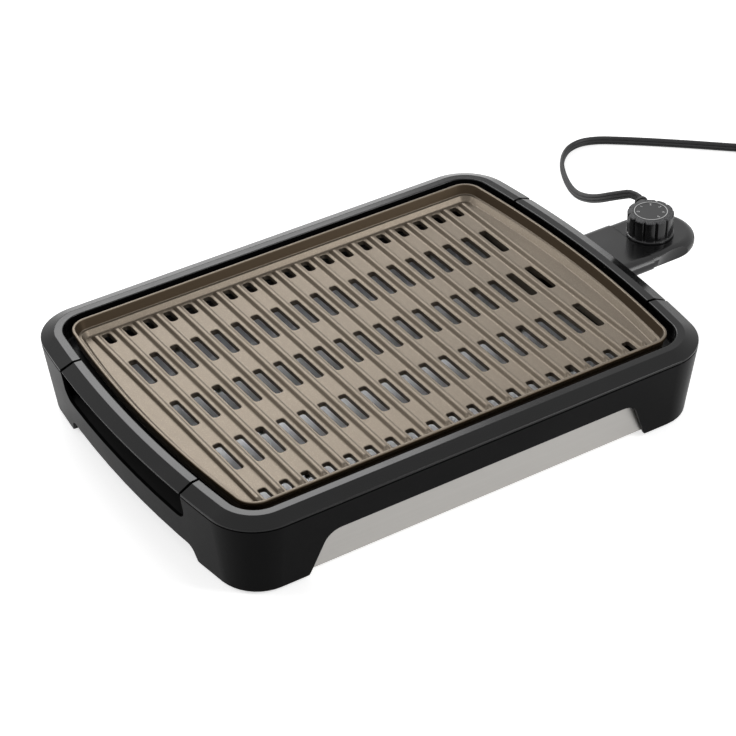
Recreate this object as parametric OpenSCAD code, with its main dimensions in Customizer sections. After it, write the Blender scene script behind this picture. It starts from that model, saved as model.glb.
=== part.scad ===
// Countertop electric grill: slotted lift-off plate over a drip tray in a
// moulded base, with a plug-in temperature control on its right-hand end.
// Millimetres. X runs along the long side, -Y is the front, Z is up from the
// surface that it stands on.

/* [Cooking plate] */
// Length of the plate over its rim, at the middle of the bowed ends
plate_l = 400; // [340:1:440]
// Width of the plate over its rim
plate_w = 278.4; // [240:0.2:310]
// Corner radius of the plate's rim
plate_corner_r = 16.8; // [12:0.1:26]
// How far each short end bows outwards
end_bow = 8; // [3:0.5:14]
// Height of the plate's rim above the surface
rim_z = 70.5; // [66:0.5:80]
// Depth from the rim to the plate's floor
plate_depth = 12; // [9:0.5:13]
// Thickness of the plate's floor
plate_floor_t = 4; // [3:0.1:5]
// Thickness of the plate's wall at the rim
plate_wall_t = 2.4; // [1.8:0.1:3]
// Height of the searing ribs above the floor
rib_h = 4; // [2:0.1:6]
// Width of a searing rib at its foot
rib_foot_w = 8.6; // [6:0.1:10]
// Width of a searing rib at its top
rib_top_w = 3.6; // [2:0.1:6]

/* [Drain slots] */
// Number of slot columns along the plate
slot_cols = 19; // [13:2:21]
// Distance from the plate's rim to where the slot columns begin
slot_border = 26.625; // [22:0.125:32]
// Distance between slot rows
slot_pitch_y = 64.5; // [60:0.5:66]
// Width of a slot
slot_w = 6.8; // [4:0.1:8]
// Length of a full slot
slot_l = 36; // [20:1:40]

/* [Base] */
// Gap between the plate's rim and the top frame
frame_gap = 7.1; // [4:0.1:9]
// Width of the flat land round the plate
land_w = 6.7; // [5:0.1:10]
// Width of the sloping band outside the land
slope_w = 10.9; // [8:0.1:14]
// Drop of the sloping band
slope_drop = 4.9; // [2:0.1:6]
// How far the skirt draws in from top to bottom
skirt_taper = 7.8; // [4:0.1:10]
// Wall thickness of the skirt
skirt_t = 3; // [2:0.1:3.5]
// Height of the parting groove between top frame and skirt
parting_gap = 1; // [0.4:0.1:2]
// Distance from the centre line to the seams on the short ends
seam_y = 90; // [84:1:98]
// Width of a seam
seam_w = 1.2; // [0.4:0.1:2]
// Thickness of the moulded top frame
frame_t = 2.6; // [2:0.1:3.2]

/* [Legs and openings] */
// Height of the front and rear arches
front_arch_z = 39.5; // [25:0.5:42]
// Half length of the straight top of the front and rear arches
front_arch_half = 127; // [90:1:130]
// Height of the arches on the short ends
end_arch_z = 15; // [8:0.5:22]
// Half length of the straight top of the end arches
end_arch_half = 87; // [60:1:88]
// Corner radius of the front and rear arches
front_arch_r = 15; // [8:1:18]
// Corner radius of the end arches
end_arch_r = 8; // [4:1:10]
// Lowest point of the finger slots
slot_floor_z = 39; // [34:0.5:45]
// Half length of the finger slots
finger_half = 92; // [70:1:93]
// Corner radius of the finger slots
finger_r = 10; // [5:1:12]
// Height of the rubber feet under the legs
foot_h = 1.2; // [0.8:0.1:3]
// Radius of a rubber foot
foot_r = 8; // [6:0.5:9]

/* [Liner and tray] */
// Gap between the liner's long walls and the inside of the skirt
liner_gap = 1; // [0.6:0.1:4]
// Height of the liner's lower edge
liner_z = 5; // [4:0.5:7]
// Thickness of the liner's sheet
liner_t = 1; // [0.6:0.1:1.4]
// Gap between the tray's rim and the ring that carries the plate
tray_gap = 1.2; // [0.8:0.1:6]
// Height of the drip tray
tray_h = 30; // [18:1:32]
// Thickness of the drip tray's sheet
tray_t = 1; // [0.6:0.1:1.5]

/* [Heating element] */
// Radius of the tubular element
element_r = 3.25; // [2.5:0.05:3.4]
// Radius of the element's bends
bend_r = 10; // [9:0.5:12]
// Distance between the two terminal pins
pin_gap = 22; // [18:0.5:26]
// Radius of a terminal pin
pin_r = 2.2; // [1.5:0.1:2.5]

/* [Temperature control] */
// Height of the control's flat top
control_top_z = 60.5; // [56:0.5:61]
// Height of the control's underside
control_low_z = 37; // [34:0.5:40]
// Half width of the control
control_half_w = 31.4; // [28:0.2:34]
// How far the dock stands out from the base
dock_reach = 30.7; // [22:0.1:38]
// Length of the control beyond its seam with the dock
control_l = 58.2; // [54:0.2:74]
// How much wider than the control the dock is, on each side
dock_step = 1.3; // [0.4:0.1:2]
// Wall thickness of dock and control
control_t = 2.4; // [1.8:0.1:3]
// Distance from the control's far end to the knob's axis
knob_back = 38.6; // [34:0.2:44]
// Radius of the knob
knob_r = 19; // [15:0.2:21]
// Height of the knob
knob_h = 21.3; // [14:0.2:26]
// Number of grooves round the knob
knob_grooves = 12; // [8:1:20]
// Radius of the knob's shaft
shaft_r = 3; // [2:0.1:4]
// Length of the sensor rod in front of the control
rod_l = 70; // [66:1:84]
// Radius of the sensor rod
rod_r = 2.5; // [2:0.1:2.8]

/* [Cord] */
// Width of the flat cord, which lies on its edge
cord_w = 8; // [6:0.5:9]
// Thickness of the flat cord
cord_t = 4; // [3:0.25:5]
// Angle at which the cord leaves the control's round end
cord_angle = 65; // [50:1:80]
// Length of the strain relief
relief_l = 26; // [20:1:32]
// Mean radius of the stored coil
coil_r = 44; // [42:1:48]
// How far one turn of the coil steps in or out
coil_step = 8; // [6:0.5:9]

/* [Hidden] */
$fn = 48;
eps = 0.01;
running_gap = 0.05;
fit_gap = 0.3;

// ---- plan outlines ---------------------------------------------------------
// A station is [centre x, centre y, radius, angle]. Its points lie on the ray
// from the centre, so an outline can be offset by adding to the radius.
corner_steps = 9;
end_steps = 10;
corner_x = plate_l / 2 - plate_corner_r - end_bow;
corner_y = plate_w / 2 - plate_corner_r;
bow_r = (pow(corner_y, 2) + pow(end_bow, 2)) / (2 * end_bow) + plate_corner_r;
bow_x = plate_l / 2 - bow_r;
bow_angle = asin(corner_y / (bow_r - plate_corner_r));
outer_offset = frame_gap + land_w + slope_w;
outer_edge_x = plate_l / 2 + outer_offset;
dock_end_x = outer_edge_x + dock_reach;
control_end_x = dock_end_x + control_l;
// The origin is on the surface under the middle of grill and control together
origin_x = (control_end_x - outer_edge_x) / 2;
seam_angle = asin(seam_y / (bow_r + frame_gap));
seam_half_angle = asin(seam_w / 2 / (bow_r + frame_gap));

function arc(x, y, r, from, to, steps, first = 0) =
  [for (i = [first : steps]) [x, y, r, from + (to - from) * i / steps]];
function on(station, offset, z) =
  [station[0] + (station[2] + offset) * cos(station[3]),
   station[1] + (station[2] + offset) * sin(station[3]), z];
function flat(stations, offset) =
  [for (s = stations) [on(s, offset, 0)[0], on(s, offset, 0)[1]]];

function right_end(from, to, steps, first = 0) = arc(bow_x, 0, bow_r, from, to, steps, first);
function left_end(from, to, steps, first = 0) = arc(-bow_x, 0, bow_r, from, to, steps, first);
function corner(sx, sy, from, to, first = 0) =
  arc(sx * corner_x, sy * corner_y, plate_corner_r, from, to, corner_steps, first);

rear_corners = concat(
  corner(1, 1, bow_angle, 90, 1), corner(-1, 1, 90, 180 - bow_angle));
front_corners = concat(
  corner(-1, -1, 180 + bow_angle, 270, 1), corner(1, -1, 270, 360 - bow_angle));
whole_ring = concat(
  right_end(-bow_angle, bow_angle, end_steps), rear_corners,
  left_end(180 - bow_angle, 180 + bow_angle, end_steps, 1),
  [for (i = [0 : len(front_corners) - 2]) front_corners[i]]);

// A rounded rectangle with straight sides
function box_ring(half_l, half_w, r) = concat(
  arc(half_l - r, half_w - r, r, 0, 90, corner_steps),
  arc(r - half_l, half_w - r, r, 90, 180, corner_steps),
  arc(r - half_l, r - half_w, r, 180, 270, corner_steps),
  arc(half_l - r, r - half_w, r, 270, 360, corner_steps));

// Sweeps a profile of [offset, z] points round the stations
module swept(stations, profile, closed = true) {
  n = len(stations);
  m = len(profile);
  points = [for (s = stations) for (p = profile) on(s, p[0], p[1])];
  sides = [
    for (i = [0 : n - (closed ? 1 : 2)]) for (j = [0 : m - 1])
      [i * m + j, i * m + (j + 1) % m, ((i + 1) % n) * m + (j + 1) % m, ((i + 1) % n) * m + j]
  ];
  caps = closed ? [] : [
    [for (j = [m - 1 : -1 : 0]) j],
    [for (j = [0 : m - 1]) (n - 1) * m + j]
  ];
  polyhedron(points = points, faces = concat(sides, caps));
}

module both_sides() {
  children();
  mirror([0, 1, 0]) children();
}

module both_ends() {
  children();
  mirror([1, 0, 0]) children();
}

module placed() {
  translate([-origin_x, 0, 0]) children();
}

// ---- heights ---------------------------------------------------------------
land_z = rim_z - 0.2;
edge_z = land_z - slope_drop;
frame_low_z = edge_z - 1.6;
skirt_top_z = frame_low_z - parting_gap;
plate_floor_z = rim_z - plate_depth;
plate_under_z = plate_floor_z - plate_floor_t;
rest_h = 2.5;
ledge_z = plate_under_z - rest_h;
ledge_t = 2.5;
bed_low_z = ledge_z - ledge_t;
lip_z = plate_floor_z + 1.5;
liner_top_z = bed_low_z;
tray_z = liner_z + liner_t;
function skirt_offset(z) = outer_offset - skirt_taper * (skirt_top_z - z) / skirt_top_z;

// ---- base ------------------------------------------------------------------
lip_in = frame_gap;
lip_out = frame_gap + frame_t - 0.1;
bed_in = -10;
skirt_low_z = foot_h;
leg_floor_t = 2.6;
shelf_z = bed_low_z + 1.7;
shelf_t = 2.4;
post_r = 4.2;
post_top_z = land_z - frame_t - 0.3;
post_offset = (lip_out + skirt_offset(shelf_z) - skirt_t) / 2;
post_y = plate_w / 2 + post_offset;
screw_r = 1.6;
screw_head_r = 3;
screw_head_h = 1.4;
post_pitch = 120;
lug_angle = asin((finger_half - 9) / bow_r);
lug_x = on([bow_x, 0, bow_r, lug_angle], post_offset, 0)[0];
lug_y = on([bow_x, 0, bow_r, lug_angle], post_offset, 0)[1];
lug_z = lip_z - shelf_t;
foot_x = corner_x + 10;
foot_y = corner_y + 10;
leg_x = front_arch_half + 30;
leg_y = end_arch_half + 11.5;

module frame_profile_rim(stations, closed = false) {
  swept(stations, [
    [lip_in, lip_z], [lip_out, lip_z], [lip_out, land_z - frame_t],
    [lip_in + land_w, land_z - frame_t], [outer_offset - frame_t, edge_z - 1.2],
    [outer_offset - frame_t, frame_low_z], [outer_offset, frame_low_z],
    [outer_offset, edge_z - 0.4], [outer_offset - 0.5, edge_z + 0.2],
    [lip_in + land_w + 0.6, land_z - 0.1], [lip_in + land_w - 0.6, land_z],
    [lip_in + 0.7, land_z], [lip_in, land_z - 0.7]
  ], closed);
}

// One arch or slot seen square on: a straight top, round corners and sides
// that lean outwards, with a small foot where it meets the surface
module arch_shape(half, top, r, lean = 22, foot = 5) {
  side = [half + r * cos(lean), top - r + r * sin(lean)];
  low_x = side[0] + (side[1] - foot) * tan(lean);
  right = concat(
    [for (a = [90 : -(90 - lean) / 6 : lean]) [half + r * cos(a), top - r + r * sin(a)]],
    [[low_x, foot], [low_x + 1.5, foot / 2], [low_x + foot, 0], [low_x + foot, -1]]);
  polygon(concat(right, [for (i = [len(right) - 1 : -1 : 0]) [-right[i][0], right[i][1]]]));
}

module finger_slot_shape(half, r) {
  polygon(concat(
    [for (a = [270 : 15 : 360]) [half - r + r * cos(a), slot_floor_z + r + r * sin(a)]],
    [[half, skirt_top_z + 1], [-half, skirt_top_z + 1]],
    [for (a = [180 : 15 : 270]) [r - half + r * cos(a), slot_floor_z + r + r * sin(a)]]));
}

module posts_along_front() {
  for (i = [-1 : 1]) translate([i * post_pitch, -post_y, 0]) children();
}

module at_lugs() {
  both_ends() both_sides() translate([lug_x, lug_y, 0]) children();
}

module skirt() color("#1d1d1f") placed() {
  top = skirt_offset(skirt_top_z);
  low = skirt_offset(skirt_low_z);
  difference() {
    union() {
      swept(whole_ring, [
        [low - skirt_t, skirt_low_z], [low - 1.8, skirt_low_z], [low - 0.3, skirt_low_z + 1.6],
        [top, skirt_top_z], [top - skirt_t, skirt_top_z]
      ]);
      both_sides() posts_along_front() skirt_shelf();
      leg_floors(low);
    }
    long_cut = 2 * plate_w;
    translate([0, plate_w, 0]) rotate([90, 0, 0])
      linear_extrude(long_cut) arch_shape(front_arch_half, front_arch_z, front_arch_r);
    translate([-plate_l, 0, 0]) rotate([90, 0, 90]) linear_extrude(2 * plate_l) {
      arch_shape(end_arch_half, end_arch_z, end_arch_r, foot = 3);
      finger_slot_shape(finger_half, finger_r);
    }
    dock_section_solid(bed_wall_x, dock_end_x, fit_gap);
    both_sides() posts_along_front()
      translate([0, 0, shelf_z - 1]) cylinder(r = screw_r + 0.1, h = shelf_t + 2);
    both_ends() both_sides() translate([foot_x, foot_y, 0])
      cylinder(r = foot_stud_r + running_gap, h = skirt_low_z + leg_floor_t + 1);
  }
}

// A shelf from the skirt's wall to each screw post of the top frame
module skirt_shelf() {
  reach = plate_w / 2 + skirt_offset(shelf_z) - 1 - post_y;
  translate([0, 0, shelf_z]) cylinder(r = post_r, h = shelf_t);
  translate([-post_r, -reach, shelf_z]) cube([2 * post_r, reach, shelf_t]);
}

module leg_floors(low) {
  translate([0, 0, skirt_low_z]) linear_extrude(leg_floor_t) intersection() {
    polygon(flat(whole_ring, low - 2));
    both_ends() both_sides() translate([leg_x, leg_y]) square([plate_l, plate_w]);
  }
}

foot_stud_r = 3;

module rubber_feet() color("#2a2a2a") placed() both_ends() both_sides()
  translate([foot_x, foot_y, 0]) {
    cylinder(r1 = foot_r - 0.6, r2 = foot_r, h = skirt_low_z);
    cylinder(r = foot_stud_r, h = skirt_low_z + leg_floor_t);
    translate([0, 0, skirt_low_z + leg_floor_t]) cylinder(r1 = foot_stud_r + 1, r2 = foot_stud_r - 1, h = 0.9);
  }

module frame_post() {
  difference() {
    cylinder(r = post_r, h = post_top_z - shelf_z - shelf_t);
    translate([0, 0, -1]) cylinder(r = screw_r, h = 11);
  }
}

module long_rim() {
  stations = concat(
    left_end(180 + seam_angle + seam_half_angle, 180 + bow_angle, 3), front_corners,
    right_end(-bow_angle, -seam_angle - seam_half_angle, 3, 1));
  frame_profile_rim(stations);
  posts_along_front() translate([0, 0, shelf_z + shelf_t]) frame_post();
}

module front_rim() color("#232326") placed() long_rim();

module rear_rim() color("#232326") placed() mirror([0, 1, 0]) long_rim();

// The grips bridge the finger slots and have a rolled lower edge
module end_grip() {
  reach = seam_angle - seam_half_angle;
  swept(right_end(-reach, reach, end_steps), [
    [lip_in, lip_z], [lip_out, lip_z], [lip_out, land_z - frame_t - 0.6],
    [lip_in + land_w, land_z - frame_t - 0.6], [outer_offset - frame_t - 0.6, frame_low_z - 0.2],
    [outer_offset - 0.9, frame_low_z - 0.2], [outer_offset - 0.1, frame_low_z + 0.5],
    [outer_offset, edge_z - 0.5], [outer_offset - 0.6, edge_z + 0.3],
    [lip_in + land_w + 0.6, land_z - 0.1], [lip_in + land_w - 0.6, land_z],
    [lip_in + 0.7, land_z], [lip_in, land_z - 0.7]
  ], false);
  both_sides() translate([lug_x, lug_y, lip_z]) difference() {
    cylinder(r = post_r, h = post_top_z - lip_z);
    translate([0, 0, -1]) cylinder(r = screw_r, h = 6);
  }
}

module right_grip() color("#27272a") placed() end_grip();

module left_grip() color("#27272a") placed() mirror([1, 0, 0]) end_grip();

// The heat-proof ring that carries plate and liner inside the top frame
bed_wall_x = plate_l / 2 + lip_out;
nose_half_w = 20;
nose_clear = 2;

module nose_window(from_x, to_x, low, high) {
  half = nose_half_w + nose_clear;
  translate([from_x, -half, low]) cube([to_x - from_x, 2 * half, high - low]);
}

module plate_bed() color("#151515") placed() difference() {
  union() {
    swept(whole_ring, [
      [bed_in, bed_low_z], [lip_out, bed_low_z], [lip_out, lip_z], [lip_in, lip_z],
      [lip_in, ledge_z + 1], [lip_in - 1, ledge_z], [bed_in, ledge_z]
    ]);
    at_lugs() bed_lug();
  }
  nose_window(plate_l / 2 + bed_in - end_bow, bed_wall_x + 1, bed_low_z - 1, nose_top_z + nose_clear);
  at_lugs() translate([0, 0, lug_z - 1]) cylinder(r = screw_r + 0.1, h = shelf_t + 2);
  dock_screw_places() rotate([0, -90, 0]) cylinder(r = screw_r, h = 8);
}

module bed_lug() {
  reach = post_offset - lip_out + 1;
  translate([0, 0, lug_z]) cylinder(r = post_r, h = shelf_t);
  translate([-reach, -post_r, lug_z]) cube([reach, 2 * post_r, shelf_t]);
}

// Small heat-proof pads on the ledge that the plate stands on
rest_l = 16;
rest_w = 5;
module rest_pad() {
  translate([-rest_l / 2, -rest_w / 2, 0]) cube([rest_l, rest_w, rest_h]);
}

module plate_rests() color("#7a2d22") placed() translate([0, 0, ledge_z]) {
  both_ends() both_sides() translate([post_pitch, plate_w / 2 - 6.5, 0]) rest_pad();
  both_ends() both_sides() translate([plate_l / 2 - 8, 48, 0]) rotate(90) rest_pad();
}

module frame_screw() {
  translate([0, 0, -screw_head_h]) cylinder(r = screw_head_r, h = screw_head_h);
  cylinder(r = screw_r - running_gap, h = shelf_t + 8);
}

module frame_screws() color("#9a9a9a") placed() {
  both_sides() posts_along_front() translate([0, 0, shelf_z]) frame_screw();
  at_lugs() translate([0, 0, lug_z]) difference() {
    frame_screw();
    translate([0, 0, shelf_t + 4]) cylinder(r = screw_r + 1, h = 8);
  }
}

// The steel liner closes the base and shows through the front and rear arches
liner_half_w = plate_w / 2 + skirt_offset(liner_z) - skirt_t - liner_gap;
liner_half_l = corner_x + 21.8;
liner_corner_r = 24;
liner_flange = 9;

module steel_liner() color("#bdb9b3") placed() difference() {
  ring = box_ring(liner_half_l, liner_half_w, liner_corner_r);
  union() {
    swept(ring, [
      [-liner_t, liner_z], [0, liner_z], [0, liner_top_z], [-liner_flange, liner_top_z],
      [-liner_flange, liner_top_z - liner_t], [-liner_t, liner_top_z - liner_t]
    ]);
    translate([0, 0, liner_z]) linear_extrude(liner_t) polygon(flat(ring, -liner_t / 2));
  }
  nose_window(liner_half_l - liner_flange - 1, liner_half_l + 1, nose_low_z - nose_clear, liner_top_z + 1);
}

// ---- drip tray -------------------------------------------------------------
tray_corner_r = 20;
tray_half_l = corner_x + 4.8;
tray_half_w = plate_w / 2 + bed_in - tray_gap;
tray_draft = 7;
tray_bead_w = 9;
tray_bead_in = 32;
tray_bead_h = 1.6;

module drip_tray() color("#cfd2d4") placed() {
  ring = box_ring(tray_half_l, tray_half_w, tray_corner_r);
  top = tray_z + tray_h;
  low = -6 - tray_draft;
  swept(ring, [
    [low, tray_z], [-6, top - 2 * tray_t], [-1, top - tray_t], [-1, top - 4 * tray_t],
    [0, top - 4 * tray_t], [0, top - tray_t], [-1, top], [-6 - tray_t, top],
    [low - tray_t, tray_z + tray_t + 1.5], [low - tray_t - 3, tray_z + tray_t], [low - 6, tray_z + tray_t],
    [low - 6, tray_z]
  ]);
  translate([0, 0, tray_z]) linear_extrude(tray_t) polygon(flat(ring, low - 5.5));
  tray_bead();
}

// A pressed bead round the tray's floor stiffens the sheet
module tray_bead() {
  ring = box_ring(tray_half_l - tray_bead_in, tray_half_w - tray_bead_in, tray_corner_r);
  foot = tray_z + tray_t - eps;
  top = tray_z + tray_t + tray_bead_h;
  swept(ring, [[-tray_bead_w, foot], [0, foot], [-2, top], [2 - tray_bead_w, top]]);
}

// ---- cooking plate and its heater ------------------------------------------
// Distance between slot columns, and between the ribs
slot_pitch_x = (plate_l - 2 * slot_border) / slot_cols;
plate_wall_low = -6.4;
plate_cove = -10;
element_drop = 1.3;
element_z = plate_under_z - element_r - element_drop;
ridge_wall = 2;
ridge_half = element_r + 0.2 + ridge_wall;
ridge_low_z = element_z - element_r;
rib_end_y = plate_w / 2 + plate_cove - 2;
slot_end_y = plate_w / 2 + plate_cove - 3.2;
inner_row_y = slot_pitch_y / 2;
outer_row_y = slot_pitch_y * 3 / 2;
element_end_x = corner_x + 2.8;
element_turn_x = slot_pitch_x * 8.5;
pin_start_x = element_end_x + 7;
pin_end_x = plate_l / 2 + 4.4;

// Centre line of one half of the element, from its terminal to the middle
element_path = [
  [pin_start_x, pin_gap / 2], [element_end_x, pin_gap / 2], [element_end_x, outer_row_y],
  [-element_end_x, outer_row_y], [-element_end_x, inner_row_y],
  [element_turn_x, inner_row_y], [element_turn_x, 0]
];

function leg_dir(path, i) =
  (path[i + 1] - path[i]) / norm(path[i + 1] - path[i]);
function bend_at(i) = i == 1 ? min(bend_r, 6.5) : bend_r;

// Runs a flat shape, given as [side, height], along the element's half path.
// Children 0 is the shape for straight legs and bends alike.
module along_element() {
  last = len(element_path) - 1;
  for (i = [0 : last - 1]) {
    d = leg_dir(element_path, i);
    start = element_path[i] + (i == 0 ? [0, 0] : bend_at(i) * d);
    stop = element_path[i + 1] - (i == last - 1 ? [0, 0] : bend_at(i + 1) * d);
    translate([start[0], start[1], 0]) rotate([0, 0, atan2(d[1], d[0])]) rotate([90, 0, 90])
      linear_extrude(norm(stop - start)) children(0);
  }
  for (i = [1 : last - 1]) {
    d0 = leg_dir(element_path, i - 1);
    d1 = leg_dir(element_path, i);
    r = bend_at(i);
    centre = element_path[i] + r * (d1 - d0);
    turn = d0[0] * d1[1] - d0[1] * d1[0];
    from = turn > 0 ? atan2(-d1[1], -d1[0]) : atan2(d0[1], d0[0]);
    translate([centre[0], centre[1], 0]) rotate([0, 0, from])
      rotate_extrude(angle = 90) translate([r, 0]) children(0);
  }
}

module grill_plate() color("#8c7d6c") placed() {
  difference() {
    union() {
      plate_shell();
      plate_ribs();
      element_ridges();
    }
    drain_slots();
  }
}

module plate_shell() {
  swept(whole_ring, [
    [-3.2, plate_under_z + 2], [-1.4, rim_z - 4], [0, rim_z - 2.6], [0, rim_z - 0.7],
    [-0.7, rim_z], [-plate_wall_t + 0.5, rim_z], [-plate_wall_t, rim_z - 0.6],
    [plate_wall_low + 0.4, plate_floor_z + 3.6], [plate_wall_low - 1, plate_floor_z + 1.2],
    [plate_cove, plate_floor_z], [plate_cove, plate_under_z], [-5.2, plate_under_z]
  ]);
  translate([0, 0, plate_under_z]) linear_extrude(plate_floor_t)
    polygon(flat(whole_ring, plate_cove + 0.5));
}

module plate_ribs() {
  for (i = [-slot_cols / 2 : slot_cols / 2]) translate([i * slot_pitch_x, 0, plate_floor_z]) searing_rib();
}

// A tapered rib that slopes down to the floor at both ends
module searing_rib() {
  half_foot = rib_foot_w / 2;
  half_top = rib_top_w / 2;
  end = rib_end_y;
  top = rib_end_y - rib_h;
  polyhedron(
    points = [
      [-half_foot, -end, -eps], [half_foot, -end, -eps], [half_foot, end, -eps], [-half_foot, end, -eps],
      [-half_top, -top, rib_h], [half_top, -top, rib_h], [half_top, top, rib_h], [-half_top, top, rib_h]
    ],
    faces = [[0, 1, 2, 3], [7, 6, 5, 4], [4, 5, 1, 0], [5, 6, 2, 1], [6, 7, 3, 2], [7, 4, 0, 3]]);
}

module element_ridges() {
  both_sides() along_element() difference() {
    translate([-ridge_half, ridge_low_z]) square([2 * ridge_half, plate_under_z + 1 - ridge_low_z]);
    translate([-ridge_half + ridge_wall, ridge_low_z - 1])
      square([2 * (ridge_half - ridge_wall), plate_under_z + 1 - ridge_low_z]);
  }
}

module drain_slots() {
  half_cols = (slot_cols - 1) / 2;
  outer_y = 2 * slot_pitch_y - slot_l / 2;
  for (i = [-half_cols : half_cols]) {
    for (j = [-1 : 1]) translate([i * slot_pitch_x, j * slot_pitch_y, 0]) drain_slot(slot_l);
    both_sides() translate([i * slot_pitch_x, (outer_y + slot_end_y) / 2, 0])
      drain_slot(slot_end_y - outer_y);
  }
}

slot_corner_r = 2.4;

module drain_slot(length) {
  low = plate_under_z - 1;
  height = plate_floor_t + 2;
  straight = length - 2 * slot_corner_r;
  translate([-slot_w / 2, -straight / 2, low]) cube([slot_w, straight, height]);
  translate([slot_corner_r - slot_w / 2, -length / 2, low])
    cube([slot_w - 2 * slot_corner_r, length, height]);
  for (x = [-1, 1]) for (y = [-1, 1])
    translate([x * (slot_w / 2 - slot_corner_r), y * straight / 2, low])
      cylinder(r = slot_corner_r, h = height, $fn = 16);
}

module heating_element() color("#4c4a48") placed() translate([0, 0, element_z])
  both_sides() along_element() circle(r = element_r, $fn = 24);

// Clips screwed across the ridges hold the element up in its channel
clip_w = 8;
clip_t = 1;

module element_clip() {
  translate([-clip_w / 2, -ridge_half - 4, ridge_low_z - clip_t]) cube([clip_w, 2 * ridge_half + 8, clip_t]);
  for (side = [-1, 1]) translate([0, side * (ridge_half + 2.5), ridge_low_z - clip_t])
    cylinder(r = 1.4, h = plate_under_z - ridge_low_z + clip_t, $fn = 24);
}

module element_clips() color("#a7a7a2") placed() both_sides() {
  for (x = [-slot_pitch_x * 6.5, 0, slot_pitch_x * 6.5]) {
    translate([x, outer_row_y, 0]) element_clip();
    translate([x, inner_row_y, 0]) element_clip();
  }
}

collar_l = 4;

module terminal_pins() color("#c9ccd0") placed() both_sides() {
  translate([pin_start_x, pin_gap / 2, element_z]) rotate([0, 90, 0]) {
    cylinder(r = element_r - 0.1, h = collar_l);
    cylinder(r = pin_r, h = pin_end_x - pin_start_x - 1);
  }
  translate([pin_end_x - 1, pin_gap / 2, element_z]) rotate([0, 90, 0])
    cylinder(r1 = pin_r, r2 = pin_r - 1, h = 1);
}

// An open channel under the plate takes the tip of the sensor rod
module sensor_channel() color("#8f8f8c") placed() {
  wall = 1.4;
  half = rod_r + 0.5 + wall;
  low = element_z - rod_r;
  start = rod_tip_x - wall - 0.5;
  difference() {
    translate([start, -half, low]) cube([nose_start - 0.5 - start, 2 * half, plate_under_z - low]);
    translate([start + wall, wall - half, low - 1])
      cube([rod_l, 2 * (half - wall), plate_under_z - low - 0.4]);
  }
}

// ---- temperature control ---------------------------------------------------
knob_x = control_end_x - knob_back;
round_x = control_end_x - control_half_w;
rod_tip_x = dock_end_x - rod_l;
nose_low_z = element_z - 6;
nose_top_z = plate_under_z - fit_gap;
nose_l = 64;
nose_start = dock_end_x - nose_l;
nose_end = dock_end_x + 5;
split_z = control_top_z - 11;
shoulder_w = 7.5;
shoulder_h = 6.4;
belly_w = 6.5;
belly_h = 6;

// Half of the control's cross-section, as [distance from the middle, height]
function half_section(half_w, top, low, keel_half) = concat(
  [[0, top]],
  [for (a = [90 : -15 : 0]) [half_w - shoulder_w + shoulder_w * cos(a), top - shoulder_h + shoulder_h * sin(a)]],
  [for (a = [0 : -18 : -54]) [half_w - belly_w + belly_w * cos(a), top - shoulder_h - 1.2 + belly_h * sin(a)]],
  [[keel_half, low], [0, low]]);
keel_half = 15;
outer_section = half_section(control_half_w, control_top_z, control_low_z, keel_half);
inner_section = half_section(
  control_half_w - control_t, control_top_z - control_t, control_low_z + control_t, keel_half - 1);

module whole_section(half) {
  n = len(half);
  polygon(concat(half, [for (i = [n - 1 : -1 : 0]) [-half[i][0], half[i][1]]]));
}

module dock_section_solid(from_x, to_x, grow) {
  wide = control_half_w + dock_step + grow;
  translate([from_x, 0, 0]) rotate([90, 0, 90]) linear_extrude(to_x - from_x)
    whole_section(half_section(wide, control_top_z + grow, control_low_z - grow, keel_half + grow));
}

// A bar of the section with one round end
module rounded_bar(section, from_x, end_x) {
  reach = max([for (p = section) p[0]]);
  translate([from_x, 0, 0]) rotate([90, 0, 90]) linear_extrude(end_x - reach - from_x) whole_section(section);
  translate([end_x - reach, 0, 0]) rotate([0, 0, -90]) rotate_extrude(angle = 180) polygon(section);
}

module dock_screw_places() {
  for (side = [-1, 1]) translate([bed_wall_x + dock_flange_t, side * (nose_half_w + nose_clear + 4), lip_z - 5])
    children();
}
dock_flange_t = 3;

module probe_dock() color("#1b1b1d") placed() difference() {
  dock_section_solid(plate_l / 2, dock_end_x, 0);
  linear_extrude(rim_z) polygon(flat(whole_ring, lip_out + 0.1));
  tunnel_half = nose_half_w + nose_clear;
  tunnel_z = nose_low_z - fit_gap;
  translate([plate_l / 2, -tunnel_half, tunnel_z])
    cube([dock_end_x, 2 * tunnel_half, control_top_z - control_t - tunnel_z]);
  dock_screw_places() rotate([0, 90, 0]) cylinder(r = screw_head_r + 0.3, h = 60);
  dock_screw_places() rotate([0, -90, 0]) cylinder(r = screw_r + 0.1, h = 8);
}

module dock_screws() color("#9a9a9a") placed() dock_screw_places() {
  rotate([0, -90, 0]) cylinder(r = screw_r - running_gap, h = 5);
  rotate([0, 90, 0]) cylinder(r = screw_head_r, h = 1.6);
}

module finger_dents() {
  dent_r = 45;
  dent_deep = 4;
  both_sides() translate([knob_x + 2.5, control_half_w + dent_r - dent_deep, split_z - 1]) sphere(r = dent_r, $fn = 96);
}

module control_shell() {
  difference() {
    rounded_bar(outer_section, dock_end_x + fit_gap, control_end_x);
    difference() {
      rounded_bar(inner_section, dock_end_x + fit_gap + control_t, control_end_x - control_t);
      dent_backing();
    }
    finger_dents();
    relief_seat() cylinder(r = relief_neck_r + running_gap, h = 12, center = true);
  }
}

// Material left behind the dents so that the wall stays closed
module dent_backing() {
  thick = 5 + control_t;
  both_sides() translate([knob_x - 18, control_half_w - thick, 0]) cube([42, thick, rim_z]);
}

module half_space(low, high) {
  translate([dock_end_x, -plate_w, low]) cube([plate_l, 2 * plate_w, high - low]);
}

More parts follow.
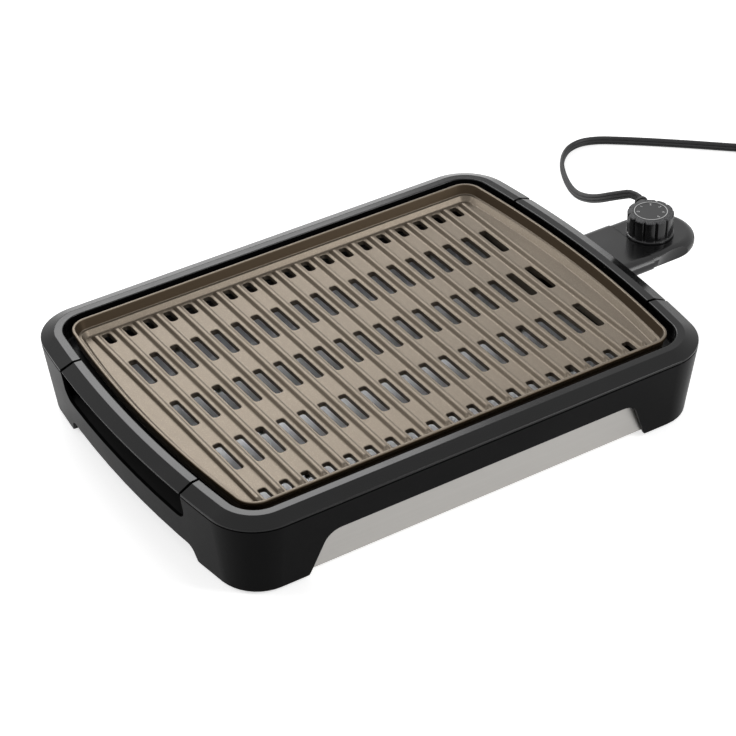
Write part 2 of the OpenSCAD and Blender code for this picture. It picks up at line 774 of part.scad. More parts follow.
module control_upper() color("#161618") placed() difference() {
  union() {
    intersection() {
      control_shell();
      half_space(split_z, rim_z);
    }
    index_mark();
    control_posts();
  }
  translate([knob_x, 0, 0]) cylinder(r = shaft_r + running_gap, h = 2 * rim_z);
  nose_way();
}

// Where the contact block passes through the end wall of both shells
module nose_way() {
  translate([dock_end_x, -nose_half_w, nose_low_z])
    cube([control_t + 1, 2 * nose_half_w, nose_top_z - nose_low_z]);
}

// A raised mark behind the knob that its settings are read against
module index_mark() {
  translate([knob_x - 0.8, knob_r + 1.2, control_top_z - eps]) cube([1.6, 3.4, 0.5]);
}

module control_lower() color("#161618") placed() difference() {
  union() {
    intersection() {
      control_shell();
      half_space(0, split_z);
    }
    thermostat_ribs();
  }
  nose_way();
  control_screw_places() translate([0, 0, control_low_z - 1]) cylinder(r = screw_r + 0.1, h = 8);
}

// Upright ribs in the lower shell carry the thermostat
module thermostat_ribs() {
  low = control_low_z + control_t / 2;
  for (x = [-5, 7]) translate([knob_x + x, -thermostat_w / 2, low])
    cube([2, thermostat_w, thermostat_low_z - low]);
}

module control_screw_places() {
  translate([knob_x + 15, 0, 0]) children();
  for (side = [-1, 1]) translate([nose_end + 5, side * 11, 0]) children();
}

module control_posts() {
  low = control_low_z + control_t;
  control_screw_places() translate([0, 0, low]) difference() {
    cylinder(r = screw_r + 1, h = control_top_z - control_t / 2 - low);
    translate([0, 0, -1]) cylinder(r = screw_r, h = 9);
  }
}

module control_screws() color("#8d8d8d") placed() control_screw_places() {
  translate([0, 0, control_low_z - 1.4]) cylinder(r = screw_head_r, h = 1.4);
  translate([0, 0, control_low_z - 0.1]) cylinder(r = screw_r - running_gap, h = control_t + 3);
}

// The nose that plugs over the pins, with a slot for each, open at the top
pin_slot_half = pin_r + 1.1;
pin_slot_l = 31;

module contact_block() color("#26221e") placed() difference() {
  translate([nose_start, -nose_half_w, nose_low_z])
    cube([nose_end - nose_start, 2 * nose_half_w, nose_top_z - nose_low_z]);
  both_sides() translate([nose_start - 1, pin_gap / 2 - pin_slot_half, element_z - pin_r - 1])
    cube([pin_slot_l + 1, 2 * pin_slot_half, nose_top_z]);
  translate([nose_start - 1, 0, element_z]) rotate([0, 90, 0])
    cylinder(r = rod_r + running_gap, h = rod_l + 20);
}

spring_t = 0.6;

// Leaf springs on the walls of the slots press on the pins
module contact_springs() color("#b8925a") placed() both_sides() for (side = [-1, 1])
  translate([
    nose_start + 6, pin_gap / 2 + side * (pin_slot_half - spring_t / 2) - spring_t / 2, element_z - pin_r - 0.6
  ]) cube([pin_slot_l - 8, spring_t, 2 * pin_r + 1.2]);

rod_end_x = nose_end + 7;

module sensor_rod() color("#b9bcc0") placed() translate([rod_tip_x + rod_r, 0, element_z]) {
  rotate([0, 90, 0]) cylinder(r = rod_r, h = rod_end_x - rod_tip_x - rod_r);
  sphere(r = rod_r);
}

thermostat_w = 16;
thermostat_h = 9;
thermostat_low_z = element_z - 5.5;
shaft_low_z = thermostat_low_z + 2;

module thermostat() color("#cbb98c") placed() difference() {
  translate([nose_end, -thermostat_w / 2, thermostat_low_z])
    cube([knob_x + 10 - nose_end, thermostat_w, thermostat_h]);
  translate([knob_x, 0, shaft_low_z]) cylinder(r = shaft_r + running_gap, h = rim_z);
  translate([nose_end - 1, 0, element_z]) rotate([0, 90, 0])
    cylinder(r = rod_r + running_gap, h = rod_end_x - nose_end + 1);
}

knob_z = control_top_z + fit_gap;
knob_bore_h = knob_h - 4;
knob_hollow_h = knob_h - 5;

module knob_shaft() color("#b9bcc0") placed() translate([knob_x, 0, shaft_low_z])
  cylinder(r = shaft_r, h = knob_z + knob_bore_h - shaft_low_z);

dial_r = knob_r - 5;
dial_t = 1;

module temperature_knob() color("#111113") placed() translate([knob_x, 0, knob_z]) difference() {
  rotate_extrude() polygon([
    [shaft_r + running_gap, 0], [shaft_r + 3, 0], [shaft_r + 3, knob_hollow_h],
    [knob_r - 3.5, knob_hollow_h], [knob_r - 3.5, 0], [knob_r + 0.7, 0], [knob_r + 0.7, 2.6],
    [knob_r - 0.4, 4.2], [knob_r - 0.4, knob_h - 4.6], [knob_r, knob_h - 4.2], [knob_r, knob_h - 1.2],
    [knob_r - 1, knob_h - 0.3], [dial_r + running_gap, knob_h - 0.3],
    [dial_r + running_gap, knob_h - 0.3 - dial_t], [0, knob_h - 0.3 - dial_t],
    [0, knob_bore_h], [shaft_r + running_gap, knob_bore_h]
  ]);
  for (i = [0 : knob_grooves - 1]) rotate([0, 0, (i + 0.5) * 360 / knob_grooves])
    translate([knob_r + 0.4, 0, 5]) cylinder(r = 1.7, h = knob_h - 10.2, $fn = 24);
}

module knob_dial() color("#1c1d20") placed() translate([knob_x, 0, knob_z + knob_h - 0.3 - dial_t]) {
  cylinder(r = dial_r, h = dial_t - 0.3);
  translate([0, 0, dial_t - 0.3]) difference() {
    cylinder(r = dial_r, h = 0.3);
    translate([0, 0, -1]) cylinder(r = dial_r - 1, h = 3);
  }
}

// ---- cord ------------------------------------------------------------------
relief_base_r = 7.6;
relief_tip_r = 5.6;
relief_neck_r = 5;
exit_z = control_top_z - 7.6;

// Puts its children at the control's round end, with Z along the cord's exit
module relief_seat() {
  translate([round_x, 0, exit_z]) rotate([0, 0, cord_angle]) translate([control_half_w, 0, 0])
    rotate([0, 90, 0]) children();
}

module strain_relief() color("#141414") placed() relief_seat() difference() {
  union() {
    translate([0, 0, -5]) cylinder(r = relief_neck_r, h = 6);
    translate([0, 0, 0.4]) cylinder(r = relief_base_r, h = 2.6);
    translate([0, 0, 3]) cylinder(r1 = relief_base_r - 1, r2 = relief_tip_r, h = relief_l - 3);
  }
  for (i = [0 : 3]) translate([0, 0, 6 + i * 5]) difference() {
    cylinder(r = relief_base_r + 1, h = 1.6);
    translate([0, 0, -1]) cylinder(r = relief_tip_r - 1.4, h = 4);
  }
}

function exit_point(reach) =
  [round_x + reach * cos(cord_angle), reach * sin(cord_angle), exit_z];
cord_floor_z = cord_w / 2 + 0.2;
relief_reach = control_half_w + relief_l;

// The cord's middle line, chosen by hand from the relief down to the surface
// and along it to the coil. X is measured from the control's round end.
falling_points = [
  [24.3, 66, 53], [21.8, 76, 48], [19.8, 88, 41], [19.3, 100, 33.5], [20.3, 113, 26], [22.8, 127, 19],
  [26.8, 142, 12.5], [31.8, 157, 8], [37.8, 172, 5.4], [44.8, 187, 4.3]
];
lying_points = [
  [52.8, 201], [63.3, 213], [76.3, 221.5], [91.3, 223.5], [106.3, 218], [120.8, 207.5], [136.8, 194.5],
  [153.8, 180], [170.8, 165], [187.3, 150], [203.8, 135], [219.8, 120.5], [235.8, 106]
];
run_points = concat(
  [exit_point(relief_reach), exit_point(relief_reach + 5)],
  [for (p = falling_points) [round_x + p[0], p[1], p[2]]],
  [for (p = lying_points) [round_x + p[0], p[1], cord_floor_z]]);
cord_sides = 8;

function flat_ring(side, up, sides) = [
  for (i = [0 : sides - 1]) let (a = (i + 0.5) * 360 / sides)
    side * (cord_t / 2 * sign(cos(a)) * pow(abs(cos(a)), 0.7) / pow(cos(180 / sides), 0.7))
    + up * (cord_w / 2 * sign(sin(a)) * pow(abs(sin(a)), 0.7) / pow(cos(180 / sides), 0.7))
];

function heading(path, i) =
  let (a = path[max(i - 1, 0)], b = path[min(i + 1, len(path) - 1)]) (b - a) / norm(b - a);

// Sweeps the flat cord along a path. It stands on its edge, and over its last
// twisted points it turns flat.
module cord_tube(path, sides, twisted = 0) {
  n = len(path);
  points = [
    for (i = [0 : n - 1])
      let (
        t = heading(path, i), level = cross(t, [0, 0, 1]) / norm(cross(t, [0, 0, 1])), rise = cross(level, t),
        a = twisted == 0 ? 0 : 90 * min(1, max(0, (i - n + 2 + twisted) / twisted)),
        side = level * cos(a) + rise * sin(a), up = rise * cos(a) - level * sin(a)
      )
      for (p = flat_ring(side, up, sides)) path[i] + p
  ];
  tube = [
    for (i = [0 : n - 2]) for (j = [0 : sides - 1])
      [i * sides + j, i * sides + (j + 1) % sides, (i + 1) * sides + (j + 1) % sides, (i + 1) * sides + j]
  ];
  caps = [[for (j = [sides - 1 : -1 : 0]) j], [for (j = [0 : sides - 1]) (n - 1) * sides + j]];
  polyhedron(points = points, faces = concat(tube, caps));
}

module cord_run() color("#161616") placed() cord_tube(run_points, cord_sides);

plug_t = 15;

// The stored coil: one turn in along the surface, then out again on top
coil_turns = 2.25;
coil_steps = 24;
coil_sides = 6;
coil_lift = cord_w + 1.2;
run_end = run_points[len(run_points) - 1];
run_dir = heading(run_points, len(run_points) - 1);
coil_lead = 10;
coil_centre = run_end + coil_lead * run_dir
  + (coil_r + coil_step / 2) * [run_dir[1], -run_dir[0], 0];
coil_from = atan2(run_dir[0], -run_dir[1]);

function coil_radius(turn) = coil_r + coil_step / 2 - coil_step * (turn <= 1 ? turn : 2 - turn);
function coil_z(turn) =
  let (rise = min(1, max(0, (turn - 0.75) / 0.5))) cord_floor_z + coil_lift * rise;
function coil_point(turn) =
  coil_centre + coil_radius(turn) * [cos(coil_from - 360 * turn), sin(coil_from - 360 * turn), 0]
  + [0, 0, coil_z(turn) - cord_floor_z];
coil_out = coil_point(coil_turns);
coil_out_angle = coil_from - 360 * coil_turns - 90;
coil_out_dir = [cos(coil_out_angle), sin(coil_out_angle), 0];
// The tail comes down to the surface and turns flat into the plug
tail_steps = 7;
tail_pitch = 7;
tail_drop = cord_floor_z + coil_lift - plug_t / 2;
function tail_point(i) =
  coil_out + i * tail_pitch * coil_out_dir
  - [0, 0, tail_drop * (1 - cos(180 * min(1, i / (tail_steps - 1)))) / 2];
coil_points = concat(
  [run_end, run_end + coil_lead / 2 * run_dir],
  [for (i = [0 : coil_turns * coil_steps]) coil_point(i / coil_steps)],
  [for (i = [1 : tail_steps]) tail_point(i)]);

function gap_between(a, b) =
  max(norm([a[0] - b[0], a[1] - b[1]]) - cord_t, abs(a[2] - b[2]) - cord_w);
self_gap = min([
  for (i = [0 : len(coil_points) - 1 - coil_steps / 2])
    for (j = [i + coil_steps / 2 : len(coil_points) - 1]) gap_between(coil_points[i], coil_points[j])
]);

module cord_coil() color("#161616") placed() {
  echo(least_gap_of_coil_to_itself = self_gap);
  cord_tube(coil_points, coil_sides, tail_steps - 1);
}

// ---- plug ------------------------------------------------------------------
plug_l = 34;
plug_w = 22;
plug_start = tail_point(tail_steps);

// Puts its children at the cord's end, with X along the cord
module at_plug() {
  translate(plug_start) rotate([0, 0, atan2(coil_out_dir[1], coil_out_dir[0])]) children();
}

module plug_body() color("#151515") placed() at_plug() hull() {
  translate([0, -cord_w / 2 - 0.6, -cord_t / 2 - 1]) cube([eps, cord_w + 1.2, cord_t + 2]);
  for (side = [-1, 1]) {
    translate([plug_l / 2, side * (plug_w / 2 - 4), 0]) cylinder(r = 4, h = plug_t, center = true, $fn = 32);
    translate([plug_l - 3, side * (plug_w / 2 - 3), 0]) cylinder(r = 3, h = plug_t, center = true, $fn = 32);
  }
}

blade_gap = 12.7;
blade_l = 17;
blade_t = 1.5;

module plug_blade(width) {
  difference() {
    translate([0, -blade_t / 2, -width / 2]) cube([blade_l, blade_t, width]);
    translate([blade_l - 4, 0, 0]) rotate([90, 0, 0]) cylinder(r = 1.5, h = 10, center = true);
  }
}

// One blade is wider than the other, as on a polarised plug
module plug_blades() color("#c8b27a") placed() at_plug() translate([plug_l, 0, 0]) {
  translate([0, blade_gap / 2, 0]) plug_blade(7.9);
  translate([0, -blade_gap / 2, 0]) plug_blade(6.3);
}

// ---- parts -----------------------------------------------------------------
skirt();
front_rim();
rear_rim();
left_grip();
right_grip();
plate_bed();
plate_rests();
steel_liner();
rubber_feet();
frame_screws();
probe_dock();
dock_screws();
drip_tray();
grill_plate();
heating_element();
element_clips();
terminal_pins();
sensor_channel();
control_upper();
control_lower();
control_screws();
contact_block();
contact_springs();
sensor_rod();
thermostat();
knob_shaft();
temperature_knob();
knob_dial();
strain_relief();
cord_run();
cord_coil();
plug_body();
plug_blades();
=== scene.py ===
"""Looks of a countertop electric grill, built round its CAD model.

Metres, in the model's own frame: X along the long side, -Y the front, Z up.
"""

import math

import bmesh
import bpy
from mathutils import Matrix, Vector


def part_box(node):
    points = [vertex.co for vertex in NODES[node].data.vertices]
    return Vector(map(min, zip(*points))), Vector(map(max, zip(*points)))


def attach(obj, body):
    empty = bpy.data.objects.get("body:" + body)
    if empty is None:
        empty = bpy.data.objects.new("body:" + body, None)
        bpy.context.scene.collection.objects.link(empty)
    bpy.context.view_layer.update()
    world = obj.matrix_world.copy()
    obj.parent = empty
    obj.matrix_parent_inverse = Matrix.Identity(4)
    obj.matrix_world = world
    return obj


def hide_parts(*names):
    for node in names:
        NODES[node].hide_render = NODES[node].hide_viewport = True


bl_info = {
    "name": "Countertop Grill",
    "version": (1, 0, 0),
    "blender": (4, 5, 0),
    "location": "3D View > Sidebar > Grill",
    "description": "Adds the finishes, the cord and the studio of a countertop electric grill",
    "category": "Add Mesh",
}

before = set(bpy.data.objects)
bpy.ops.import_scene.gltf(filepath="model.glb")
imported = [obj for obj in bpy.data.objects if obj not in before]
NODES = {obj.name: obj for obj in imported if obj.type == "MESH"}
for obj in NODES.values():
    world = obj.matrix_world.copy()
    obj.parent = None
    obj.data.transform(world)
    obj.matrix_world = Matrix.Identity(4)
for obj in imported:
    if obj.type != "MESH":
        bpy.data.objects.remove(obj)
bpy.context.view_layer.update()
MM = 0.001
PLATE_MIDDLE_X = -44.45 * MM


def at(x, y, z):
    """A point given in millimetres from the plate's middle, in the model's frame."""
    return Vector((x * MM + PLATE_MIDDLE_X, y * MM, z * MM))


# ---- shader maths ----


class Signal:
    """A node's output as a value that Python's arithmetic works on."""

    def __init__(self, nodes, socket):
        self.nodes = nodes
        self.socket = socket

    def maths(self, operation, *values):
        return self.nodes.node("ShaderNodeMath", {"operation": operation}, dict(enumerate(values)))

    def __add__(self, other):
        return self.maths("ADD", self, other)

    __radd__ = __add__

    def __sub__(self, other):
        return self.maths("SUBTRACT", self, other)

    def __rsub__(self, other):
        return self.maths("SUBTRACT", other, self)

    def __mul__(self, other):
        return self.maths("MULTIPLY", self, other)

    __rmul__ = __mul__

    def __pow__(self, other):
        return self.maths("POWER", self, other)

    def __abs__(self):
        return self.maths("ABSOLUTE", self)

    def clamped(self, low=0.0, high=1.0):
        return self.maths("MINIMUM", self.maths("MAXIMUM", self, low), high)

    def ramp(self, low, high):
        """0 below low and 1 above high, smooth between them."""
        settings = {"interpolation_type": "SMOOTHSTEP", "clamp": True}
        sockets = {"Value": self, "From Min": low, "From Max": high}
        return self.nodes.node("ShaderNodeMapRange", settings, sockets)


class Nodes:
    """The node tree of a material or of the world."""

    def __init__(self, owner):
        owner.use_nodes = True
        self.tree = owner.node_tree
        self.tree.nodes.clear()

    def node(self, kind, settings=None, sockets=None, out=0):
        """Adds a node: its settings first, then the values or links of its sockets."""
        made = self.tree.nodes.new(kind)
        for name, value in (settings or {}).items():
            if name == "stops":
                self.set_stops(made.color_ramp, value)
            else:
                setattr(made, name, value)
        for key, value in (sockets or {}).items():
            self.feed(made.inputs[key], value)
        return Signal(self, made.outputs[out])

    def set_stops(self, ramp, stops):
        while len(ramp.elements) < len(stops):
            ramp.elements.new(0.5)
        for element, (position, tint) in zip(ramp.elements, stops):
            element.position = position
            element.color = (*tint, 1.0)

    def feed(self, socket, value):
        """Gives a socket a link or a constant."""
        if isinstance(value, Signal):
            self.tree.links.new(value.socket, socket)
        elif socket.type == "RGBA":
            socket.default_value = (*tuple(value)[:3], 1.0)
        else:
            socket.default_value = value

    def end(self, kind, shader):
        """Ends the tree in an output node."""
        self.feed(self.tree.nodes.new(kind).inputs["Surface"], shader)


class Finish(Nodes):
    """One material and the nodes that make its surface vary."""

    def __init__(self, name):
        self.material = bpy.data.materials.new(name)
        super().__init__(self.material)
        self.shader = self.tree.nodes.new("ShaderNodeBsdfPrincipled")
        self.end("ShaderNodeOutputMaterial", Signal(self, self.shader.outputs[0]))
        self.place = self.node("ShaderNodeTexCoord", out="Object")

    def surface(self, tone, roughness, normal=None, **others):
        """Feeds the shader and returns the material."""
        values = {"base_color": tone, "roughness": roughness, **others}
        if normal:
            values["normal"] = normal
        for name, value in values.items():
            socket = name.replace("_", " ").title().replace("Ior", "IOR")
            self.feed(self.shader.inputs[socket], value)
        return self.material

    def scaled(self, x, y, z):
        """The surface's place, stretched along each axis."""
        return self.node("ShaderNodeVectorMath", {"operation": "MULTIPLY"}, {0: self.place, 1: (x, y, z)})

    def cloud(self, scale, detail=3.0, rough=0.5, place=None):
        """Soft noise from 0 to 1, with scale cells to the metre."""
        sockets = {"Vector": place or self.place, "Scale": scale, "Detail": detail, "Roughness": rough}
        return self.node("ShaderNodeTexNoise", {}, sockets)

    def cells(self, scale, out="Distance"):
        """Cells with scale of them to the metre: the distance to a cell's middle, or its colour."""
        return self.node("ShaderNodeTexVoronoi", {}, {"Vector": self.place, "Scale": scale}, out)

    def part(self, axis, vector=None):
        """One coordinate of a vector, by the name X, Y or Z."""
        return self.node("ShaderNodeSeparateXYZ", {}, {0: vector or self.place}, axis)

    def radius(self, middle):
        """The distance from an upright axis through middle."""
        across = self.part("X") - middle.x
        along = self.part("Y") - middle.y
        return (across * across + along * along) ** 0.5

    def blend(self, factor, first, second):
        """A colour between two colours."""
        sockets = {"Factor": factor, 6: first, 7: second}
        return self.node("ShaderNodeMix", {"data_type": "RGBA"}, sockets, 2)

    def bump(self, height, depth, strength=1.0, under=None):
        """A normal that a height from 0 to 1, depth metres deep, disturbs."""
        sockets = {"Height": height, "Distance": depth, "Strength": strength}
        if under is not None:
            sockets["Normal"] = under
        return self.node("ShaderNodeBump", {}, sockets)


# ---- sizes and colours ----


def measure(name, description, value, low, high):
    return bpy.props.FloatProperty(
        name=name, description=description, default=value, min=low, max=high, unit="LENGTH")


class GrillSizes(bpy.types.PropertyGroup):
    """Sizes of what the finishes add to the model."""

    edge_round: measure("Edge rounding", "Width of the rounding on moulded edges", 0.0005, 0.0001, 0.002)
    cord_width: measure("Cord width", "Width of the flat cord", 0.008, 0.006, 0.009)
    cord_thickness: measure("Cord thickness", "Thickness of the flat cord", 0.004, 0.003, 0.005)
    numeral_height: measure("Numeral height", "Height of the numbers on the dial", 0.0028, 0.002, 0.005)
    lens: bpy.props.FloatProperty(
        name="Lens", description="Focal length of the camera, in millimetres on a 36 mm sensor",
        default=130.49, min=50.0, max=200.0)


def colour(name, description, value):
    return bpy.props.FloatVectorProperty(
        name=name, description=description, default=value, size=3, min=0.0, max=1.0, subtype="COLOR")


class GrillColours(bpy.types.PropertyGroup):
    """Colours of the main finishes."""

    moulding: colour("Moulding", "Colour of the black mouldings", (0.0080, 0.0080, 0.0084))
    coating: colour("Coating", "Colour of the plate's non-stick coating", (0.137, 0.113, 0.086))
    # Painted shade: a darker colour painted on the rim's steep walls in place of the shade that falls on
    # them.
    coating_dark: colour("Dark coating", "Colour of the coating on the steep walls", (0.052, 0.035, 0.019))
    steel: colour("Steel", "Colour of the brushed steel liner", (0.50, 0.486, 0.465))
    print_white: colour("Print", "Colour of the print on the dial", (0.62, 0.62, 0.62))
    jacket: colour("Jacket", "Colour of the cord's jacket", (0.012, 0.012, 0.013))
    floor: colour("Floor", "Colour of the studio floor", (0.94, 0.94, 0.94))


# ---- finishes ----
# Places and depths are in metres, and the scales of noise in cells to the metre.

# Painted shade: black for the liner's ends, which lie in shade inside the finger slots.
PAINTED_SHADE_BLACK = (0.008, 0.008, 0.008)
FLAKE_TINT = (0.26, 0.22, 0.17)
STAIN_TINT = (0.3, 0.24, 0.18)
STAIN_SHARE = 0.15
DIAL_BLACK = (0.02, 0.02, 0.021)
HEAT_TINTS = [
    (0.25, (0.028, 0.026, 0.026)), (0.5, (0.06, 0.05, 0.042)),
    (0.62, (0.085, 0.062, 0.04)), (0.8, (0.045, 0.05, 0.062))]
BRUSHING = (4.0, 900.0, 900.0)
WIDE_BRUSHING = (2.0, 108.0, 108.0)
WALL_FOOT = (0.0629, 0.0635)
# Where the painted shade on the liner's ends begins, in metres from the plate's middle along X.
PAINTED_SHADE_EDGE = (0.160, 0.162)
DIAL_RING_INNER = (0.01312, 0.01318)
DIAL_RING_OUTER = (0.01378, 0.01384)
ROUGH_RING_INNER = (0.0141, 0.0144)
ROUGH_RING_DEPTH = (0.0022, 0.0014)


def times(share, tint):
    """A colour made darker or lighter, and never more than white."""
    return tuple(min(1.0, share * c) for c in tint)


def moulded_plastic(name, base, rough, grain, level=0.3):
    """Black injection-moulded plastic with a fine spark-eroded grain and faint handling marks."""
    f = Finish(name)
    marks = f.cloud(38.0, 4.0, 0.6)
    haze = f.cloud(9.0, 2.0)
    tone = f.blend(haze.ramp(0.35, 0.7), times(0.86, base), times(1.2, base))
    roughness = (rough - 0.035) + 0.07 * marks
    fine = f.cloud(2600.0, 2.0, 0.6)
    flow = f.cloud(150.0, 1.0, 0.4)
    normal = f.bump(fine, 0.00004 * grain, 0.5, under=f.bump(flow, 0.00005, 0.35))
    return f.surface(tone, roughness, normal, specular_ior_level=level)


def polished_plastic(name, base, rough, level):
    """Glossy black plastic with a slight orange peel, and hairlines and smudges in its gloss."""
    f = Finish(name)
    smudge = f.cloud(26.0, 4.0, 0.62).ramp(0.45, 0.8)
    hairlines = f.cloud(1.0, 2.0, 0.5, place=f.scaled(70.0, 1500.0, 700.0)).ramp(0.66, 0.8)
    peel = f.cloud(120.0, 1.0, 0.4)
    roughness = rough + 0.06 * smudge + 0.03 * hairlines
    normal = f.bump(peel, 0.00003, 0.2)
    tone = f.blend(smudge, base, times(1.25, base))
    return f.surface(tone, roughness, normal, specular_ior_level=level)


def coated_casting(name, colours):
    """Bronze non-stick coating on cast aluminium: fine flake and orange peel, with painted shade darkening
    the rim's steep walls.
    """
    f = Finish(name)
    normal_z = abs(f.part("Z", f.node("ShaderNodeTexCoord", out="Normal")))
    # Painted shade: this mask picks the rim's steep walls above their foot, which get the darker colour as
    # painted shade and a little more roughness.
    steep = f.part("Z").ramp(*WALL_FOOT) * (1 - normal_z.ramp(0.45, 0.93))
    flake = f.cells(2100.0, out="Color")
    glint = f.part("X", flake)
    drift = f.cloud(14.0, 3.0)
    light = f.blend(drift.ramp(0.3, 0.75), times(0.93, colours.coating), times(1.06, colours.coating))
    sparkled = f.blend(glint.ramp(0.75, 1.0) * 0.35, light, FLAKE_TINT)
    # The steep walls take the darker colour here as painted shade.
    tone = f.blend(steep, sparkled, colours.coating_dark)
    roughness = 0.36 + 0.07 * drift + 0.06 * steep - 0.05 * glint
    peel = f.cloud(420.0, 2.0, 0.5)
    normal = f.bump(peel, 0.00005, 0.35, under=f.bump(glint, 0.00001, 0.25))
    return f.surface(tone, roughness, normal, metallic=0.72)


def liner_sheet(name, base):
    """Steel brushed along its length where it shows, and black towards its ends as painted shade inside the
    finger slots.
    """
    f = Finish(name)
    lines = f.cloud(1.0, 4.0, 0.7, place=f.scaled(*BRUSHING))
    wide = f.cloud(1.0, 2.0, 0.5, place=f.scaled(*WIDE_BRUSHING))
    haze = f.cloud(7.0, 3.0)
    brushed = f.blend(lines * 0.6 + wide * 0.4, times(0.9, base), times(1.08, base))
    # Painted shade: beyond this distance the liner is painted black and matt in place of the shade inside
    # the finger slots.
    painted = abs(f.part("X") - PLATE_MIDDLE_X).ramp(*PAINTED_SHADE_EDGE)
    grain = f.cloud(1500.0, 3.0, 0.6)
    tone = f.blend(painted, brushed, PAINTED_SHADE_BLACK)
    roughness = (0.3 + 0.12 * lines + 0.05 * haze) * (1 - painted) + (0.55 + 0.1 * grain) * painted
    normal = f.bump(lines * (1 - painted) + grain * painted, 0.00002, 0.3)
    return f.surface(tone, roughness, normal, metallic=1 - painted)


def pressed_sheet(name, base):
    """Thin rolled aluminium that was pressed into a tray."""
    f = Finish(name)
    rolling = f.cloud(1.0, 3.0, 0.6, place=f.scaled(9.0, 500.0, 120.0))
    dents = f.cloud(22.0, 2.0)
    tone = f.blend(rolling, times(0.9, base), base)
    roughness = 0.36 + 0.1 * rolling
    normal = f.bump(dents, 0.0004, 0.35, under=f.bump(rolling, 0.00001, 0.25))
    return f.surface(tone, roughness, normal, metallic=0.92)


def bare_metal(name, base, rough):
    """Small metal pieces, with light marks and a little staining."""
    f = Finish(name)
    spots = f.cloud(240.0, 4.0, 0.6)
    marks = f.cloud(1200.0, 2.0, 0.6)
    tone = f.blend(spots.ramp(0.5, 0.8) * STAIN_SHARE, base, STAIN_TINT)
    roughness = rough + 0.14 * spots + 0.05 * marks
    normal = f.bump(marks, 0.00002, 0.3)
    return f.surface(tone, roughness, normal, metallic=1.0)


def oxidised_tube(name):
    """The element's sheath: dark oxide with straw and blue heat tints."""
    f = Finish(name)
    heat = f.cloud(16.0, 3.0, 0.6)
    scale = f.cloud(900.0, 3.0, 0.6)
    tint = f.node("ShaderNodeValToRGB", {"stops": HEAT_TINTS}, {"Fac": heat})
    roughness = 0.42 + 0.2 * scale
    normal = f.bump(scale, 0.00004, 0.4)
    return f.surface(tint, roughness, normal, metallic=0.6)


def soft_rubber(name, base, rough):
    """Soft PVC or rubber: a matt skin with a fine moulded texture and a trace of dust."""
    f = Finish(name)
    dust = f.cloud(60.0, 4.0, 0.62)
    skin = f.cloud(1900.0, 3.0, 0.6)
    tone = f.blend(dust.ramp(0.5, 0.85) * 0.5, base, tuple(2.0 * c + 0.004 for c in base))
    roughness = rough + 0.14 * dust
    normal = f.bump(skin, 0.00005, 0.45)
    return f.surface(tone, roughness, normal, specular_ior_level=0.4)


def fired_ceramic(name, base):
    """Unglazed insulating body with fine pores."""
    f = Finish(name)
    pores = f.cells(1500.0)
    patch = f.cloud(120.0, 3.0)
    tone = f.blend(patch, times(0.85, base), base)
    return f.surface(tone, 0.62 + 0.15 * patch, f.bump(pores, 0.00006, 0.4))


def knob_moulding(name, base, middle, top):
    """A glossy side, and a coarse spark-eroded texture on the ring round the dial, with painted sheen
    lightening its peaks.
    """
    f = Finish(name)
    low, high = (top - depth for depth in ROUGH_RING_DEPTH)
    ring = f.radius(middle).ramp(*ROUGH_RING_INNER) * f.part("Z").ramp(low, high)
    coarse = f.cloud(1000.0, 2.0, 0.7)
    fine = f.cloud(260.0, 2.0, 0.5)
    # Painted sheen: the peaks of the ring's texture are painted a lighter grey in place of the light the
    # coarse texture scatters.
    tone = f.blend(ring * coarse.ramp(0.4, 0.65), base, times(9.0, base))
    roughness = 0.17 + 0.05 * fine + ring * 0.35
    normal = f.bump(coarse * ring, 0.0004, 0.9, under=f.bump(fine, 0.00002, 0.3))
    return f.surface(tone, roughness, normal, specular_ior_level=0.45)


def dial_face(name, colours, middle):
    """The knob's top: satin black with one printed ring near its edge."""
    f = Finish(name)
    radius = f.radius(middle)
    ring = radius.ramp(*DIAL_RING_INNER) * (1 - radius.ramp(*DIAL_RING_OUTER))
    worn = f.cloud(900.0, 3.0, 0.6)
    grain = f.cloud(2600.0, 2.0, 0.6)
    printed = ring * (0.85 + 0.15 * worn)
    tone = f.blend(printed, DIAL_BLACK, colours.print_white)
    roughness = 0.34 + 0.08 * worn + 0.12 * printed
    normal = f.bump(grain, 0.00003, 0.4)
    return f.surface(tone, roughness, normal, specular_ior_level=0.35)


def printed_ink(name, base):
    """Pad-printed ink, slightly uneven."""
    f = Finish(name)
    thin = f.cloud(1400.0, 3.0, 0.6)
    tone = f.blend(thin, times(0.82, base), base)
    return f.surface(tone, 0.45 + 0.1 * thin, f.bump(thin, 0.00001, 0.3))


# ---- mesh helpers ----

WELD_REACH = 0.000004
TEXT_WELD_REACH = 0.000002
SOLID_WELD_REACH = 0.0000005
SCORE_REACH = 0.0000002
FLAT_ANGLE = math.radians(0.6)
BEVEL_ANGLE = math.radians(32)


